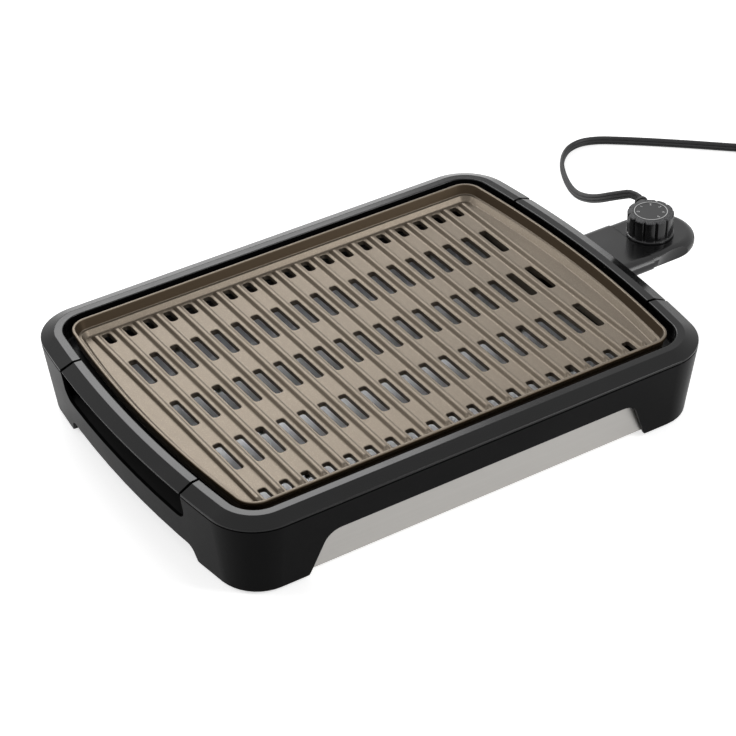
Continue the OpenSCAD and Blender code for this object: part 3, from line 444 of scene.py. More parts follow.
def smooth_by_angle(limit):
    """A node group that shades smooth every edge that turns less than limit, in degrees."""
    name = "Smooth below %d degrees" % limit
    group = bpy.data.node_groups.get(name)
    if group:
        return group
    group = bpy.data.node_groups.new(name, "GeometryNodeTree")
    for way in ("INPUT", "OUTPUT"):
        group.interface.new_socket("Geometry", in_out=way, socket_type="NodeSocketGeometry")
    start = group.nodes.new("NodeGroupInput")
    end = group.nodes.new("NodeGroupOutput")
    angle = group.nodes.new("GeometryNodeInputMeshEdgeAngle")
    sharp = group.nodes.new("FunctionNodeCompare")
    sharp.operation = "GREATER_THAN"
    sharp.inputs[1].default_value = math.radians(limit)
    faces = group.nodes.new("GeometryNodeSetShadeSmooth")
    edges = group.nodes.new("GeometryNodeSetShadeSmooth")
    edges.domain = "EDGE"
    edges.inputs["Shade Smooth"].default_value = False
    link = group.links.new
    link(start.outputs[0], faces.inputs["Geometry"])
    link(faces.outputs[0], edges.inputs["Geometry"])
    link(angle.outputs["Unsigned Angle"], sharp.inputs[0])
    link(sharp.outputs[0], edges.inputs["Selection"])
    link(edges.outputs[0], end.inputs[0])
    return group


def keep_flats(obj):
    """Lets an object's large faces set the shading of the narrow ones beside them."""
    modifier = obj.modifiers.new("Flat faces", "WEIGHTED_NORMAL")
    modifier.keep_sharp = True


def finish_edges(obj, width=0.0, segments=2, limit=30, weld=True):
    """Welds a model's mesh, rounds its edges and shades it smooth between them."""
    if "custom_normal" in obj.data.attributes:
        obj.data.attributes.remove(obj.data.attributes["custom_normal"])
    if weld:
        modifier = obj.modifiers.new("Weld", "WELD")
        modifier.merge_threshold = WELD_REACH
    if width:
        flat = obj.modifiers.new("Join flat faces", "DECIMATE")
        flat.decimate_type = "DISSOLVE"
        flat.angle_limit = FLAT_ANGLE
        bevel = obj.modifiers.new("Round edges", "BEVEL")
        bevel.width = width
        bevel.segments = segments
        bevel.limit_method = "ANGLE"
        bevel.angle_limit = BEVEL_ANGLE
        bevel.use_clamp_overlap = True
        bevel.miter_outer = "MITER_ARC"
    shade = obj.modifiers.new("Smooth", "NODES")
    shade.node_group = smooth_by_angle(limit)
    if width:
        keep_flats(obj)


def dress(node, material, width=0.0, segments=2):
    """Gives a CAD node its finish and, where a width is given, rounded edges."""
    obj = NODES[node]
    obj.data.materials.clear()
    obj.data.materials.append(material)
    finish_edges(obj, width, segments)


def in_scene(name, data):
    """A new object in the scene."""
    obj = bpy.data.objects.new(name, data)
    bpy.context.scene.collection.objects.link(obj)
    return obj


def mesh_from(name, bm):
    """A mesh with its faces turned outwards, from a bmesh, which is used up."""
    mesh = bpy.data.meshes.new(name)
    bmesh.ops.recalc_face_normals(bm, faces=bm.faces)
    bm.to_mesh(mesh)
    bm.free()
    return mesh


def new_piece(name, bm, material, body, replaced=()):
    """Turns a bmesh into a piece that rides on a body."""
    mesh = mesh_from(name, bm)
    for polygon in mesh.polygons:
        polygon.use_smooth = True
    mesh.materials.append(material)
    obj = in_scene(name, mesh)
    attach(obj, body)
    if replaced:
        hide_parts(*replaced)
    return obj


# ---- outlines and solids ----
# Millimetres from the plate's middle, as in the CAD model.

CORNER_R = 16.8
CORNER_X = 175.2
CORNER_Y = 122.4
BOW_R = 957.2
BOW_X = -757.2
BOW_ANGLE = math.asin(CORNER_Y / (BOW_R - CORNER_R))
FLOOR_Z = 58.5
UNDER_Z = 54.5
RIM_Z = 70.5
FLOOR_INSET = 10.6
SINK = 0.02
RIB_END_Y = 127.2
RIB_SLOPE = 5.2
RIB_STEPS = 6
SLOT_PITCH = 18.25
SLOT_COLUMNS = 19
SLOT_ROW = 64.5
SLOT_W = 6.8
SLOT_L = 36.0
SLOT_END_Y = 126.0
SLOT_CORNER_R = 2.4
SLOT_ROLL = 0.7
SLOT_ROLL_STEPS = 5
FRAME_GAP = 7.1
FRAME_CUT_Z = 60.0
LAND_Z = 70.3
SEAM_ANGLE = math.asin(90 / (BOW_R + FRAME_GAP))
SEAM_HALF_ANGLE = math.asin(1.3 / BOW_R)
RECESS_REACH = 91.6
RECESS_OUTER_R = BOW_R + 19.3
RECESS_INNER_X = 197.35
RECESS_LOW_Z = 37.4
RECESS_HIGH_Z = 38.9
PLATE_CORNER_STEPS = 22
FRAME_CORNER_STEPS = 26
FRAME_END_STEPS = 5
PLATE_END_STEPS = 20
GRIP_STEPS = 30
RECESS_STEPS = 24
ROUND_STEPS = 5
SLOT_CORNER_STEPS = 6


def arc_stations(x, y, r, start, end, steps):
    """Stations (centre x, centre y, radius, angle) along an arc, without its last one."""
    return [(x, y, r, start + (end - start) * i / steps) for i in range(steps)]


def corner(x_side, y_side, start, end, steps):
    """Stations round one of the four corners."""
    return arc_stations(x_side * CORNER_X, y_side * CORNER_Y, CORNER_R, start, end, steps)


def plate_ring():
    """The plate's outline, with bowed ends and round corners."""
    quarter = math.pi / 2
    bow = BOW_ANGLE
    steps = PLATE_CORNER_STEPS
    return (
        arc_stations(BOW_X, 0, BOW_R, -bow, bow, PLATE_END_STEPS)
        + corner(1, 1, bow, quarter, steps)
        + corner(1, 1, quarter, quarter, 1)
        + corner(-1, 1, quarter, 2 * quarter - bow, steps)
        + arc_stations(-BOW_X, 0, BOW_R, 2 * quarter - bow, 2 * quarter + bow, PLATE_END_STEPS)
        + corner(-1, -1, 2 * quarter + bow, 3 * quarter, steps)
        + corner(-1, -1, 3 * quarter, 3 * quarter, 1)
        + corner(1, -1, 3 * quarter, 4 * quarter - bow, steps))


def off_station(station, offset):
    """The point (x, y) that lies offset outwards from a station's arc."""
    x, y, r, angle = station
    return x + (r + offset) * math.cos(angle), y + (r + offset) * math.sin(angle)


def rounded(corners):
    """A closed outline with its corners rounded. A corner is (across, up, radius)."""
    made = []
    for i, (x, z, r) in enumerate(corners):
        here = Vector((x, z))
        back = Vector(corners[i - 1][:2]) - here
        ahead = Vector(corners[(i + 1) % len(corners)][:2]) - here
        if r <= 0:
            made.append((x, z))
            continue
        half = back.angle(ahead) / 2
        reach = min(r / math.tan(half), 0.49 * back.length, 0.49 * ahead.length)
        a = here + back.normalized() * reach
        b = here + ahead.normalized() * reach
        for k in range(ROUND_STEPS + 1):
            t = k / ROUND_STEPS
            p = a * (1 - t) ** 2 + here * (2 * t * (1 - t)) + b * t ** 2
            made.append((p.x, p.y))
    return made


def add_tube(bm, rings, closed=False):
    """Joins rings of points into a skin, closed on itself or with caps."""
    made = [[bm.verts.new(p) for p in ring] for ring in rings]
    count = len(made[0])
    pairs = list(zip(made, made[1:])) + ([(made[-1], made[0])] if closed else [])
    for a, b in pairs:
        for j in range(count):
            k = (j + 1) % count
            bm.faces.new((a[j], a[k], b[k], b[j]))
    if not closed:
        bm.faces.new(made[0][::-1])
        bm.faces.new(made[-1])


def add_sweep(bm, stations, outline, x_side=1, y_side=1, closed=False):
    """Sweeps an outline of (outwards, up) points, mirrored about an axis whose side is -1."""
    rings = []
    for station in stations:
        places = [(*off_station(station, offset), z) for offset, z in outline]
        rings.append([at(x_side * x, y_side * y, z) for x, y, z in places])
    add_tube(bm, rings, closed)


def add_prism(bm, outline, low, high):
    """An upright prism over an outline of (x, y) points."""
    add_tube(bm, [[at(x, y, z) for x, y in outline] for z in (low, high)])


def slot_outline(middle_y, length, column, grow):
    """A slot's rounded outline round the middle of a column, grown on all sides."""
    r = SLOT_CORNER_R + grow
    half_w = SLOT_W / 2 + grow
    half_l = length / 2 + grow
    made = []
    for quarter, (sx, sy) in enumerate(((1, 1), (-1, 1), (-1, -1), (1, -1))):
        for k in range(SLOT_CORNER_STEPS + 1):
            a = math.pi / 2 * (quarter + k / SLOT_CORNER_STEPS)
            x = column + sx * (half_w - r) + r * math.cos(a)
            made.append((x, middle_y + sy * (half_l - r) + r * math.sin(a)))
    return made


def solid(name, bm):
    """Turns a bmesh into an object for combined, which uses it up."""
    bmesh.ops.remove_doubles(bm, verts=bm.verts, dist=SOLID_WELD_REACH)
    return in_scene(name, mesh_from(name, bm))


def combined(first, second, operation):
    """A new solid from two, which are used up."""
    modifier = first.modifiers.new("Solid", "BOOLEAN")
    modifier.operation = operation
    modifier.solver = "MANIFOLD"
    modifier.object = second
    bpy.context.view_layer.update()
    graph = bpy.context.evaluated_depsgraph_get()
    mesh = bpy.data.meshes.new_from_object(first.evaluated_get(graph))
    if not mesh.polygons:
        raise RuntimeError("no solid came out of %s and %s" % (first.name, second.name))
    made = in_scene(first.name, mesh)
    bpy.data.objects.remove(first)
    bpy.data.objects.remove(second)
    return made


def split(bm, place, normal, **settings):
    """Cuts all of a bmesh along a plane."""
    geometry = bm.verts[:] + bm.edges[:] + bm.faces[:]
    bmesh.ops.bisect_plane(bm, geom=geometry, plane_co=place, plane_no=normal, **settings)


def score(obj, xs, ys):
    """Splits an object's faces along upright planes, so that none is left with a hole cut in it."""
    bm = bmesh.new()
    bm.from_mesh(obj.data)
    for places, normal in ((xs, (1, 0, 0)), (ys, (0, 1, 0))):
        for place in places:
            split(bm, at(place, place, 0), normal, dist=SCORE_REACH)
    bm.to_mesh(obj.data)
    bm.free()


def part_of_node(node, height):
    """What lies below a height, in millimetres, of a copy of a CAD node's mesh."""
    bm = bmesh.new()
    source = NODES[node]
    bm.from_mesh(source.data)
    bmesh.ops.transform(bm, matrix=source.matrix_world, verts=bm.verts)
    bmesh.ops.remove_doubles(bm, verts=bm.verts, dist=WELD_REACH)
    split(bm, at(0, 0, height), (0, 0, 1), clear_outer=True)
    return bm


# ---- the cord's route ----
# The same points as in the CAD model, in metres from the plate's middle.

ROUND_X = 0.2822
EXIT_ANGLE = math.radians(65)
EXIT_Z = 0.0529
RELIEF_REACH = 0.0574
CORD_FLOOR_Z = 0.0042
FALLING_POINTS = [
    (0.3065, 0.066, 0.053), (0.304, 0.076, 0.048), (0.302, 0.088, 0.041), (0.3015, 0.100, 0.0335),
    (0.3025, 0.113, 0.026), (0.305, 0.127, 0.019), (0.309, 0.142, 0.0125), (0.314, 0.157, 0.008),
    (0.320, 0.172, 0.0054), (0.327, 0.187, 0.0043),
]
LYING_POINTS = [
    (0.335, 0.201), (0.3455, 0.213), (0.3585, 0.2215), (0.3735, 0.2235), (0.3885, 0.218),
    (0.403, 0.2075), (0.419, 0.1945), (0.436, 0.180), (0.453, 0.165), (0.4695, 0.150),
    (0.486, 0.135), (0.502, 0.1205), (0.518, 0.106),
]
COIL_TURNS = 2.25
COIL_STEPS = 48
COIL_RADIUS = 0.044
COIL_STEP = 0.008
COIL_LIFT = 0.0092
COIL_LIFT_START = 0.75
COIL_LIFT_TURNS = 0.5
COIL_LEAD = 0.010
TAIL_STEPS = 7
TAIL_PITCH = 0.007
PLUG_THICK = 0.015
TWIST_LEAD_OUT = 6
RUN_SPACING = 0.004
TAIL_SPACING = 0.0025
JACKET_STEPS = 52
JACKET_SQUARENESS = 3.4
JACKET_GROOVE_WIDTH = 0.045
JACKET_GROOVE_DEPTH = 0.5


def exit_point(reach):
    return Vector((ROUND_X + reach * math.cos(EXIT_ANGLE), reach * math.sin(EXIT_ANGLE), EXIT_Z))


def run_path():
    """The cord's points from the strain relief to where it lies straight before the coil."""
    points = [exit_point(RELIEF_REACH), exit_point(RELIEF_REACH + 0.005)]
    points += [Vector(p) for p in FALLING_POINTS]
    return points + [Vector((x, y, CORD_FLOOR_Z)) for x, y in LYING_POINTS]


def coil_and_tail():
    """The points of the coil and of the tail that leads to the plug."""
    run = run_path()
    end = run[-1]
    ahead = (run[-1] - run[-2]).normalized()
    outer = COIL_RADIUS + COIL_STEP / 2
    centre = end + COIL_LEAD * ahead + outer * Vector((ahead.y, -ahead.x, 0))
    start = math.atan2(ahead.x, -ahead.y)

    def coil_point(turn):
        radius = outer - COIL_STEP * (turn if turn <= 1 else 2 - turn)
        angle = start - 2 * math.pi * turn
        rise = COIL_LIFT * min(1.0, max(0.0, (turn - COIL_LIFT_START) / COIL_LIFT_TURNS))
        return centre + Vector((radius * math.cos(angle), radius * math.sin(angle), rise))

    steps = int(COIL_TURNS * COIL_STEPS)
    coil = [end + COIL_LEAD / 2 * ahead] + [coil_point(i / COIL_STEPS) for i in range(steps + 1)]
    angle = start - 2 * math.pi * COIL_TURNS - math.pi / 2
    out = Vector((math.cos(angle), math.sin(angle), 0))
    drop = CORD_FLOOR_Z + COIL_LIFT - PLUG_THICK / 2
    tail = []
    for i in range(1, TAIL_STEPS + 1):
        share = min(1.0, i / (TAIL_STEPS - 1))
        fall = drop * (1 - math.cos(math.pi * share)) / 2
        tail.append(coil[-1] + i * TAIL_PITCH * out - Vector((0, 0, fall)))
    return coil, tail


def spline_through(points, spacing):
    """A smooth curve through the points, sampled about every spacing metres."""
    ends = [2 * points[0] - points[1]] + points + [2 * points[-1] - points[-2]]
    made = []
    for a, b, c, d in zip(ends, ends[1:], ends[2:], ends[3:]):
        steps = max(1, round((c - b).length / spacing))
        for i in range(steps):
            t = i / steps
            bend = 2 * a - 5 * b + 4 * c - d
            twist = 3 * b - a - 3 * c + d
            made.append(0.5 * (2 * b + (c - a) * t + bend * t * t + twist * t ** 3))
    made.append(points[-1].copy())
    return made


def length_of(points):
    return sum((b - a).length for a, b in zip(points, points[1:]))


def jacket_section(width, thick):
    """The flat cord's outline: three lobes side by side, with a groove between each two."""
    half = []
    for i in range(JACKET_STEPS + 1):
        along = -width / 2 * math.cos(math.pi * i / JACKET_STEPS)
        across = thick / 2 * max(0.0, 1 - abs(2 * along / width) ** JACKET_SQUARENESS) ** 0.5
        groove = math.exp(-((abs(along) - width / 6) / (width * JACKET_GROOVE_WIDTH)) ** 2)
        half.append((across * (1 - JACKET_GROOVE_DEPTH * groove), along))
    return half + [(-across, along) for across, along in half[-2:0:-1]]


def section_tube(path, section, twist_from):
    """A tube whose section stands on its edge along a path and turns flat from point twist_from."""
    rings = []
    last = len(path) - 1
    for i, p in enumerate(path):
        ahead = (path[min(i + 1, last)] - path[max(i - 1, 0)]).normalized()
        level = ahead.cross(Vector((0, 0, 1))).normalized()
        rise = level.cross(ahead)
        share = (i - twist_from) / max(1, last - twist_from - TWIST_LEAD_OUT)
        turn = math.pi / 2 * min(1.0, max(0.0, share))
        side = level * math.cos(turn) + rise * math.sin(turn)
        up = rise * math.cos(turn) - level * math.sin(turn)
        rings.append([p + side * s + up * u for s, u in section])
    bm = bmesh.new()
    add_tube(bm, rings)
    return bm


# ---- operators ----
# Widths of rounded edges are in metres, and the outlines in the operators in millimetres.

FINE_ROUND = 0.0001
METAL_ROUND = 0.0002
PART_ROUND = 0.0003
SHELL_ROUND = 0.0004
PLUG_ROUND = 0.0008


def done():
    return {"FINISHED"}


CAMERA_PLACE = (-906.00, -1438.95, 1244.15)
CAMERA_RIGHT = (0.84012655, -0.54214585, -0.01628706)
CAMERA_UP = (0.32557217, 0.48004523, 0.81459151)
CAMERA_BACK = (-0.43380888, -0.68966257, 0.57980635)
WHITE = (1, 1, 1)
WORLD_LIGHT = 0.36
LAMPS = (
    ("Back softbox", (0.5, 2.0, 1.9), (1.6, 1.0), 27.0),
    ("Left softbox", (-1.75, 1.2, 1.05), (1.2, 1.0), 12.0),
    ("Shoulder softbox", (1.08, -1.49, 0.95), (0.5, 1.8), 17.0),
)
FLOOR_REACH = 12.0
FLOOR_DROP = 0.0002
FLOOR_GLOW = 0.62
MIRRORED_GLOW = 0.55


class GRILL_OT_studio(bpy.types.Operator):
    """Make the camera, the lamps, the floor and the white surroundings"""

    bl_idname = "grill.studio"
    bl_label = "Studio"

    def execute(self, context):
        self.camera(context)
        self.surroundings(context)
        for lamp in LAMPS:
            self.lamp(*lamp)
        self.floor(context)
        context.scene.view_settings.view_transform = "Standard"
        return done()

    def camera(self, context):
        """The photograph's camera, as it was fitted to the outlines."""
        data = bpy.data.cameras.new("Camera")
        data.lens = context.scene.grill_sizes.lens
        data.sensor_width = 36.0
        data.clip_end = 50.0
        camera = in_scene("Camera", data)
        axes = [Vector(axis) for axis in (CAMERA_RIGHT, CAMERA_UP, CAMERA_BACK)]
        turned = Matrix(axes).transposed().to_4x4()
        camera.matrix_world = Matrix.Translation(at(*CAMERA_PLACE)) @ turned
        context.scene.camera = camera

    def surroundings(self, context):
        """White to the camera and in reflections, dimmer as a light."""
        context.scene.world = bpy.data.worlds.new("Studio")
        nodes = Nodes(context.scene.world)
        seen = nodes.node("ShaderNodeLightPath", out="Is Camera Ray")
        for kind in ("Is Glossy Ray", "Is Transmission Ray"):
            seen = seen.maths("MAXIMUM", seen, nodes.node("ShaderNodeLightPath", out=kind))
        dim, white = (
            nodes.node("ShaderNodeBackground", {}, {"Color": WHITE, "Strength": strength})
            for strength in (WORLD_LIGHT, 1.0))
        mix = nodes.node("ShaderNodeMixShader", {}, {0: seen, 1: dim, 2: white})
        nodes.end("ShaderNodeOutputWorld", mix)

    def lamp(self, name, place, size, power):
        """A softbox that points at the grill and isn't seen itself."""
        data = bpy.data.lights.new(name, "AREA")
        data.shape = "RECTANGLE"
        data.size, data.size_y = size
        data.energy = power
        lamp = in_scene(name, data)
        lamp.location = place
        lamp.rotation_euler = (-Vector(place)).to_track_quat("-Z", "Y").to_euler()
        lamp.visible_camera = False

    def floor(self, context):
        """A pale floor that glows to the camera, and less so in reflections."""
        f = Finish("Studio floor")
        shade = context.scene.grill_colours.floor
        tone = f.blend(f.cloud(3.0, 2.0), times(0.995, shade), shade)
        seen = f.node("ShaderNodeLightPath", out="Is Camera Ray")
        mirrored = f.node("ShaderNodeLightPath", out="Is Glossy Ray")
        glow = (seen + mirrored * MIRRORED_GLOW).clamped()
        f.surface(tone, 0.7, specular_ior_level=0.1, emission_color=glow, emission_strength=FLOOR_GLOW)
        bm = bmesh.new()
        bmesh.ops.create_grid(bm, x_segments=2, y_segments=2, size=FLOOR_REACH)
        mesh = bpy.data.meshes.new("Floor")
        bm.to_mesh(mesh)
        bm.free()
        mesh.materials.append(f.material)
        floor = in_scene("Floor", mesh)
        floor.location.z = -FLOOR_DROP


class GRILL_OT_cord(bpy.types.Operator):
    """Make the flat cord from the strain relief to the plug, with its coil"""

    bl_idname = "grill.cord"
    bl_label = "Cord"

    def execute(self, context):
        sizes = context.scene.grill_sizes
        jacket = soft_rubber("Cord jacket", context.scene.grill_colours.jacket, 0.42)
        coil, tail = coil_and_tail()
        run = spline_through(run_path(), RUN_SPACING)
        end = spline_through([coil[-1]] + tail, TAIL_SPACING)
        shift = Vector((PLATE_MIDDLE_X, 0, 0))
        path = [p + shift for p in run + coil[:-1] + end]
        first = len(run) + len(coil) - 1
        section = jacket_section(sizes.cord_width, sizes.cord_thickness)
        bm = section_tube(path, section, first)
        cord = new_piece("cord", bm, jacket, "control", ("cord_run", "cord_coil"))
        length_of(path)
        return done()


class GRILL_OT_base(bpy.types.Operator):
    """Finish the moulded base, its frame, grips, liner and small parts"""

    bl_idname = "grill.base"
    bl_label = "Base"

    def execute(self, context):
        colours = context.scene.grill_colours
        sizes = context.scene.grill_sizes
        black = colours.moulding
        satin = moulded_plastic("Satin moulding", times(0.5, black), 0.3, 1.0, 0.045)
        gloss = polished_plastic("Frame moulding", times(0.4, black), 0.17, 0.28)
        dock = polished_plastic("Dock moulding", times(0.8, black), 0.2, 0.42)
        matt = moulded_plastic("Heat-proof moulding", (0.012, 0.012, 0.012), 0.5, 2.0, 0.25)
        dress("skirt", satin, sizes.edge_round)
        self.rims(gloss)
        self.grips(gloss)
        dress("plate_bed", matt, sizes.edge_round)
        dress("probe_dock", dock, sizes.edge_round)
        self.finger_recesses(matt)
        pad = moulded_plastic("Heat-proof pad", (0.02, 0.019, 0.018), 0.6, 2.0)
        dress("plate_rests", pad, PART_ROUND)
        dress("steel_liner", liner_sheet("Liner sheet", colours.steel), METAL_ROUND)
        dress("rubber_feet", soft_rubber("Foot rubber", (0.02, 0.02, 0.02), 0.6), SHELL_ROUND)
        screws = bare_metal("Blackened screws", (0.075, 0.073, 0.07), 0.42)
        for node in ("frame_screws", "dock_screws", "control_screws"):
            dress(node, screws, METAL_ROUND)
        return done()

    def rims(self, gloss):
        """The two long halves of the top frame, from seam to seam round the corners."""
        outline = rounded([
            (FRAME_GAP, FRAME_CUT_Z, 0), (9.6, FRAME_CUT_Z, 0), (9.6, 67.7, 0), (13.8, 67.7, 0),
            (22.1, 64.2, 0), (22.1, 63.8, 0), (24.7, 63.8, 0.35), (24.7, 65.6, 0.7),
            (13.8, LAND_Z, 1.8), (FRAME_GAP, LAND_Z, 1.0)])
        seam = SEAM_ANGLE + SEAM_HALF_ANGLE
        quarter = math.pi / 2
        stations = (
            arc_stations(BOW_X, 0, BOW_R, seam, BOW_ANGLE, FRAME_END_STEPS)
            + corner(1, 1, BOW_ANGLE, quarter, FRAME_CORNER_STEPS)
            + corner(1, 1, quarter, quarter, 1)
            + corner(-1, 1, quarter, 2 * quarter - BOW_ANGLE, FRAME_CORNER_STEPS)
            + arc_stations(-BOW_X, 0, BOW_R, 2 * quarter - BOW_ANGLE, 2 * quarter - seam, FRAME_END_STEPS)
            + [(-BOW_X, 0, BOW_R, 2 * quarter - seam)])
        for node, side in (("rear_rim", 1), ("front_rim", -1)):
            self.frame_piece(node, stations, outline, gloss, y_side=side)

    def grips(self, gloss):
        """The two end grips, with rolled lower edges over the finger slots."""
        outline = rounded([
            (FRAME_GAP, FRAME_CUT_Z, 0), (9.6, FRAME_CUT_Z, 0), (9.6, 67.1, 0), (13.8, 67.1, 0),
            (21.5, 63.6, 0.5), (24.0, 63.6, 1.0), (24.7, 65.2, 0.8),
            (13.8, LAND_Z, 1.8), (FRAME_GAP, LAND_Z, 1.0)])
        reach = SEAM_ANGLE - SEAM_HALF_ANGLE
        stations = arc_stations(BOW_X, 0, BOW_R, -reach, reach, GRIP_STEPS) + [(BOW_X, 0, BOW_R, reach)]
        for node, side in (("right_grip", 1), ("left_grip", -1)):
            self.frame_piece(node, stations, outline, gloss, x_side=side)

    def frame_piece(self, node, stations, outline, gloss, **side):
        """Puts a finer top on what a frame node has below it, in the node's place."""
        bm = part_of_node(node, FRAME_CUT_Z)
        add_sweep(bm, stations, outline, **side)
        made = new_piece("fine_" + node, bm, gloss, "base", (node,))
        finish_edges(made, weld=False)
        keep_flats(made)

    def finger_recesses(self, matt):
        """A dark shelf behind each finger slot, between the skirt and the liner."""
        half = RECESS_STEPS // 2
        reach = math.asin(RECESS_REACH / RECESS_OUTER_R)
        arc = [reach * (k / half - 1) for k in range(RECESS_STEPS + 1)]
        for name, side in (("recess_right", 1), ("recess_left", -1)):
            outline = [(BOW_X + RECESS_OUTER_R * math.cos(a), RECESS_OUTER_R * math.sin(a)) for a in arc]
            outline += [(RECESS_INNER_X, RECESS_REACH), (RECESS_INNER_X, -RECESS_REACH)]
            outline = [(side * x, y) for x, y in outline]
            bm = bmesh.new()
            add_prism(bm, outline, RECESS_LOW_Z, RECESS_HIGH_Z)
            finish_edges(new_piece(name, bm, matt, "base"), weld=False)


class GRILL_OT_tray(bpy.types.Operator):
    """Finish the drip tray"""

    bl_idname = "grill.tray"
    bl_label = "Drip tray"

    def execute(self, context):
        dress("drip_tray", pressed_sheet("Pressed aluminium", (0.86, 0.87, 0.89)), PART_ROUND)
        return done()


class GRILL_OT_plate(bpy.types.Operator):
    """Finish the cooking plate and the heating element under it"""

    bl_idname = "grill.plate"
    bl_label = "Cooking plate"

    def execute(self, context):
        self.casting(coated_casting("Non-stick coating", context.scene.grill_colours))
        dress("heating_element", oxidised_tube("Element sheath"))
        dress("element_clips", bare_metal("Clip steel", (0.5, 0.5, 0.48), 0.36), METAL_ROUND)
        dress("terminal_pins", bare_metal("Plated pins", (0.72, 0.72, 0.72), 0.2), METAL_ROUND)
        dress("sensor_channel", bare_metal("Channel metal", (0.5, 0.5, 0.49), 0.36), METAL_ROUND)
        return done()

    def casting(self, coating):
        """The plate: a rolled rim, a floor with rounded ribs, and slots with rolled edges."""
        shell = bmesh.new()
        ring = plate_ring()
        add_sweep(shell, ring, rounded([
            (-3.2, 56.5, 0.5), (-1.4, 66.5, 1.5), (0, 68.0, 0.6), (0, RIM_Z, 1.1), (-2.4, RIM_Z, 1.0),
            (-5.0, 62.7, 0.3), (-7.0, 62.5, 0.3), (-9.9, FLOOR_Z, 1.6), (-11.2, FLOOR_Z, 0),
            (-11.2, UNDER_Z, 0), (-5.2, UNDER_Z, 0.8)]), closed=True)
        floor = bmesh.new()
        add_prism(floor, [off_station(station, -FLOOR_INSET) for station in ring], UNDER_Z, FLOOR_Z)
        ribs = bmesh.new()
        for i in range(SLOT_COLUMNS + 1):
            self.add_rib(ribs, (i - SLOT_COLUMNS / 2) * SLOT_PITCH)
        slots = bmesh.new()
        outer = 2 * SLOT_ROW - SLOT_L / 2
        columns = [(i - (SLOT_COLUMNS - 1) / 2) * SLOT_PITCH for i in range(SLOT_COLUMNS)]
        rows = [(row * SLOT_ROW, SLOT_L) for row in (-1, 0, 1)]
        rows += [(side * (outer + SLOT_END_Y) / 2, SLOT_END_Y - outer) for side in (-1, 1)]
        for column in columns:
            for middle_y, length in rows:
                self.add_slot(slots, middle_y, length, column)
        plate = combined(solid("casting", floor), solid("ribs", ribs), "UNION")
        plate = combined(plate, solid("shell", shell), "UNION")
        score(plate, columns, [middle_y for middle_y, _ in rows])
        plate = combined(plate, solid("slots", slots), "DIFFERENCE")
        bm = part_of_node("grill_plate", UNDER_Z - SINK)
        bm.from_mesh(plate.data)
        bpy.data.objects.remove(plate)
        made = new_piece("grill_casting", bm, coating, "plate", ("grill_plate",))
        finish_edges(made, limit=34, weld=False)
        keep_flats(made)

    def add_rib(self, bm, x):
        """A searing rib with a round top and soft feet, sloping down at its ends."""
        section = rounded([
            (4.5, -0.3, 0), (4.3, 0.0, 0), (3.0, 0.2, 1.2), (1.4, 3.5, 1.2),
            (-1.4, 3.5, 1.2), (-3.0, 0.2, 1.2), (-4.3, 0.0, 0), (-4.5, -0.3, 0)])
        slope = []
        for k in range(RIB_STEPS + 1):
            slope.append((RIB_END_Y - RIB_SLOPE * k / RIB_STEPS, math.sin(math.pi / 2 * k / RIB_STEPS)))
        rings = []
        for side, run in ((-1, slope), (1, slope[::-1])):
            for reach, share in run:
                rings.append([at(x + u, side * reach, FLOOR_Z + v * share - SINK) for u, v in section])
        add_tube(bm, rings)

    def add_slot(self, bm, middle_y, length, column):
        """What a drain slot takes away, flared at the top to leave a rolled edge."""
        rings = [(UNDER_Z - 1, 0.0)]
        for k in range(SLOT_ROLL_STEPS + 1):
            a = math.pi / 2 * k / SLOT_ROLL_STEPS
            rings.append((FLOOR_Z - SLOT_ROLL + SLOT_ROLL * math.sin(a), SLOT_ROLL * (1 - math.cos(a))))
        rings.append((FLOOR_Z + 0.6, SLOT_ROLL))
        add_tube(bm, [
            [at(x, y, z) for x, y in slot_outline(middle_y, length, column, grow)] for z, grow in rings])


class GRILL_OT_control(bpy.types.Operator):
    """Finish the temperature control and what is inside it"""

    bl_idname = "grill.control"
    bl_label = "Temperature control"

    def execute(self, context):
        black = context.scene.grill_colours.moulding
        shell = polished_plastic("Control moulding", times(0.8, black), 0.2, 0.42)
        dress("control_upper", shell, SHELL_ROUND)
        dress("control_lower", shell, SHELL_ROUND)
        block = fired_ceramic("Contact thermoset", (0.03, 0.026, 0.02))
        dress("contact_block", block, SHELL_ROUND)
        dress("contact_springs", bare_metal("Spring brass", (0.62, 0.46, 0.24), 0.28), FINE_ROUND)
        dress("sensor_rod", bare_metal("Ground steel", (0.66, 0.66, 0.66), 0.24), METAL_ROUND)
        dress("thermostat", fired_ceramic("Thermostat body", (0.55, 0.48, 0.33)), SHELL_ROUND)
        rubber = soft_rubber("Relief rubber", (0.009, 0.009, 0.009), 0.5)
        dress("strain_relief", rubber, PART_ROUND)
        dress("plug_body", rubber, PLUG_ROUND, 3)
        dress("plug_blades", bare_metal("Plated brass", (0.74, 0.62, 0.36), 0.22), METAL_ROUND)
        return done()


KNOB_STEPS = 360
KNOB_GROOVES = 12
GROOVE_ANGLE = math.radians(7)
GROOVE_DEPTH = 1.9
GROOVE_SHARPNESS = 14
NUMERALS = 6
NUMERAL_START = 150
NUMERAL_STEP = 48
NUMERAL_RADIUS = 0.0101
NUMERAL_EXTRUDE = 0.00006
NUMERAL_SINK = 0.00026
TEXT_SCALE = 1.35


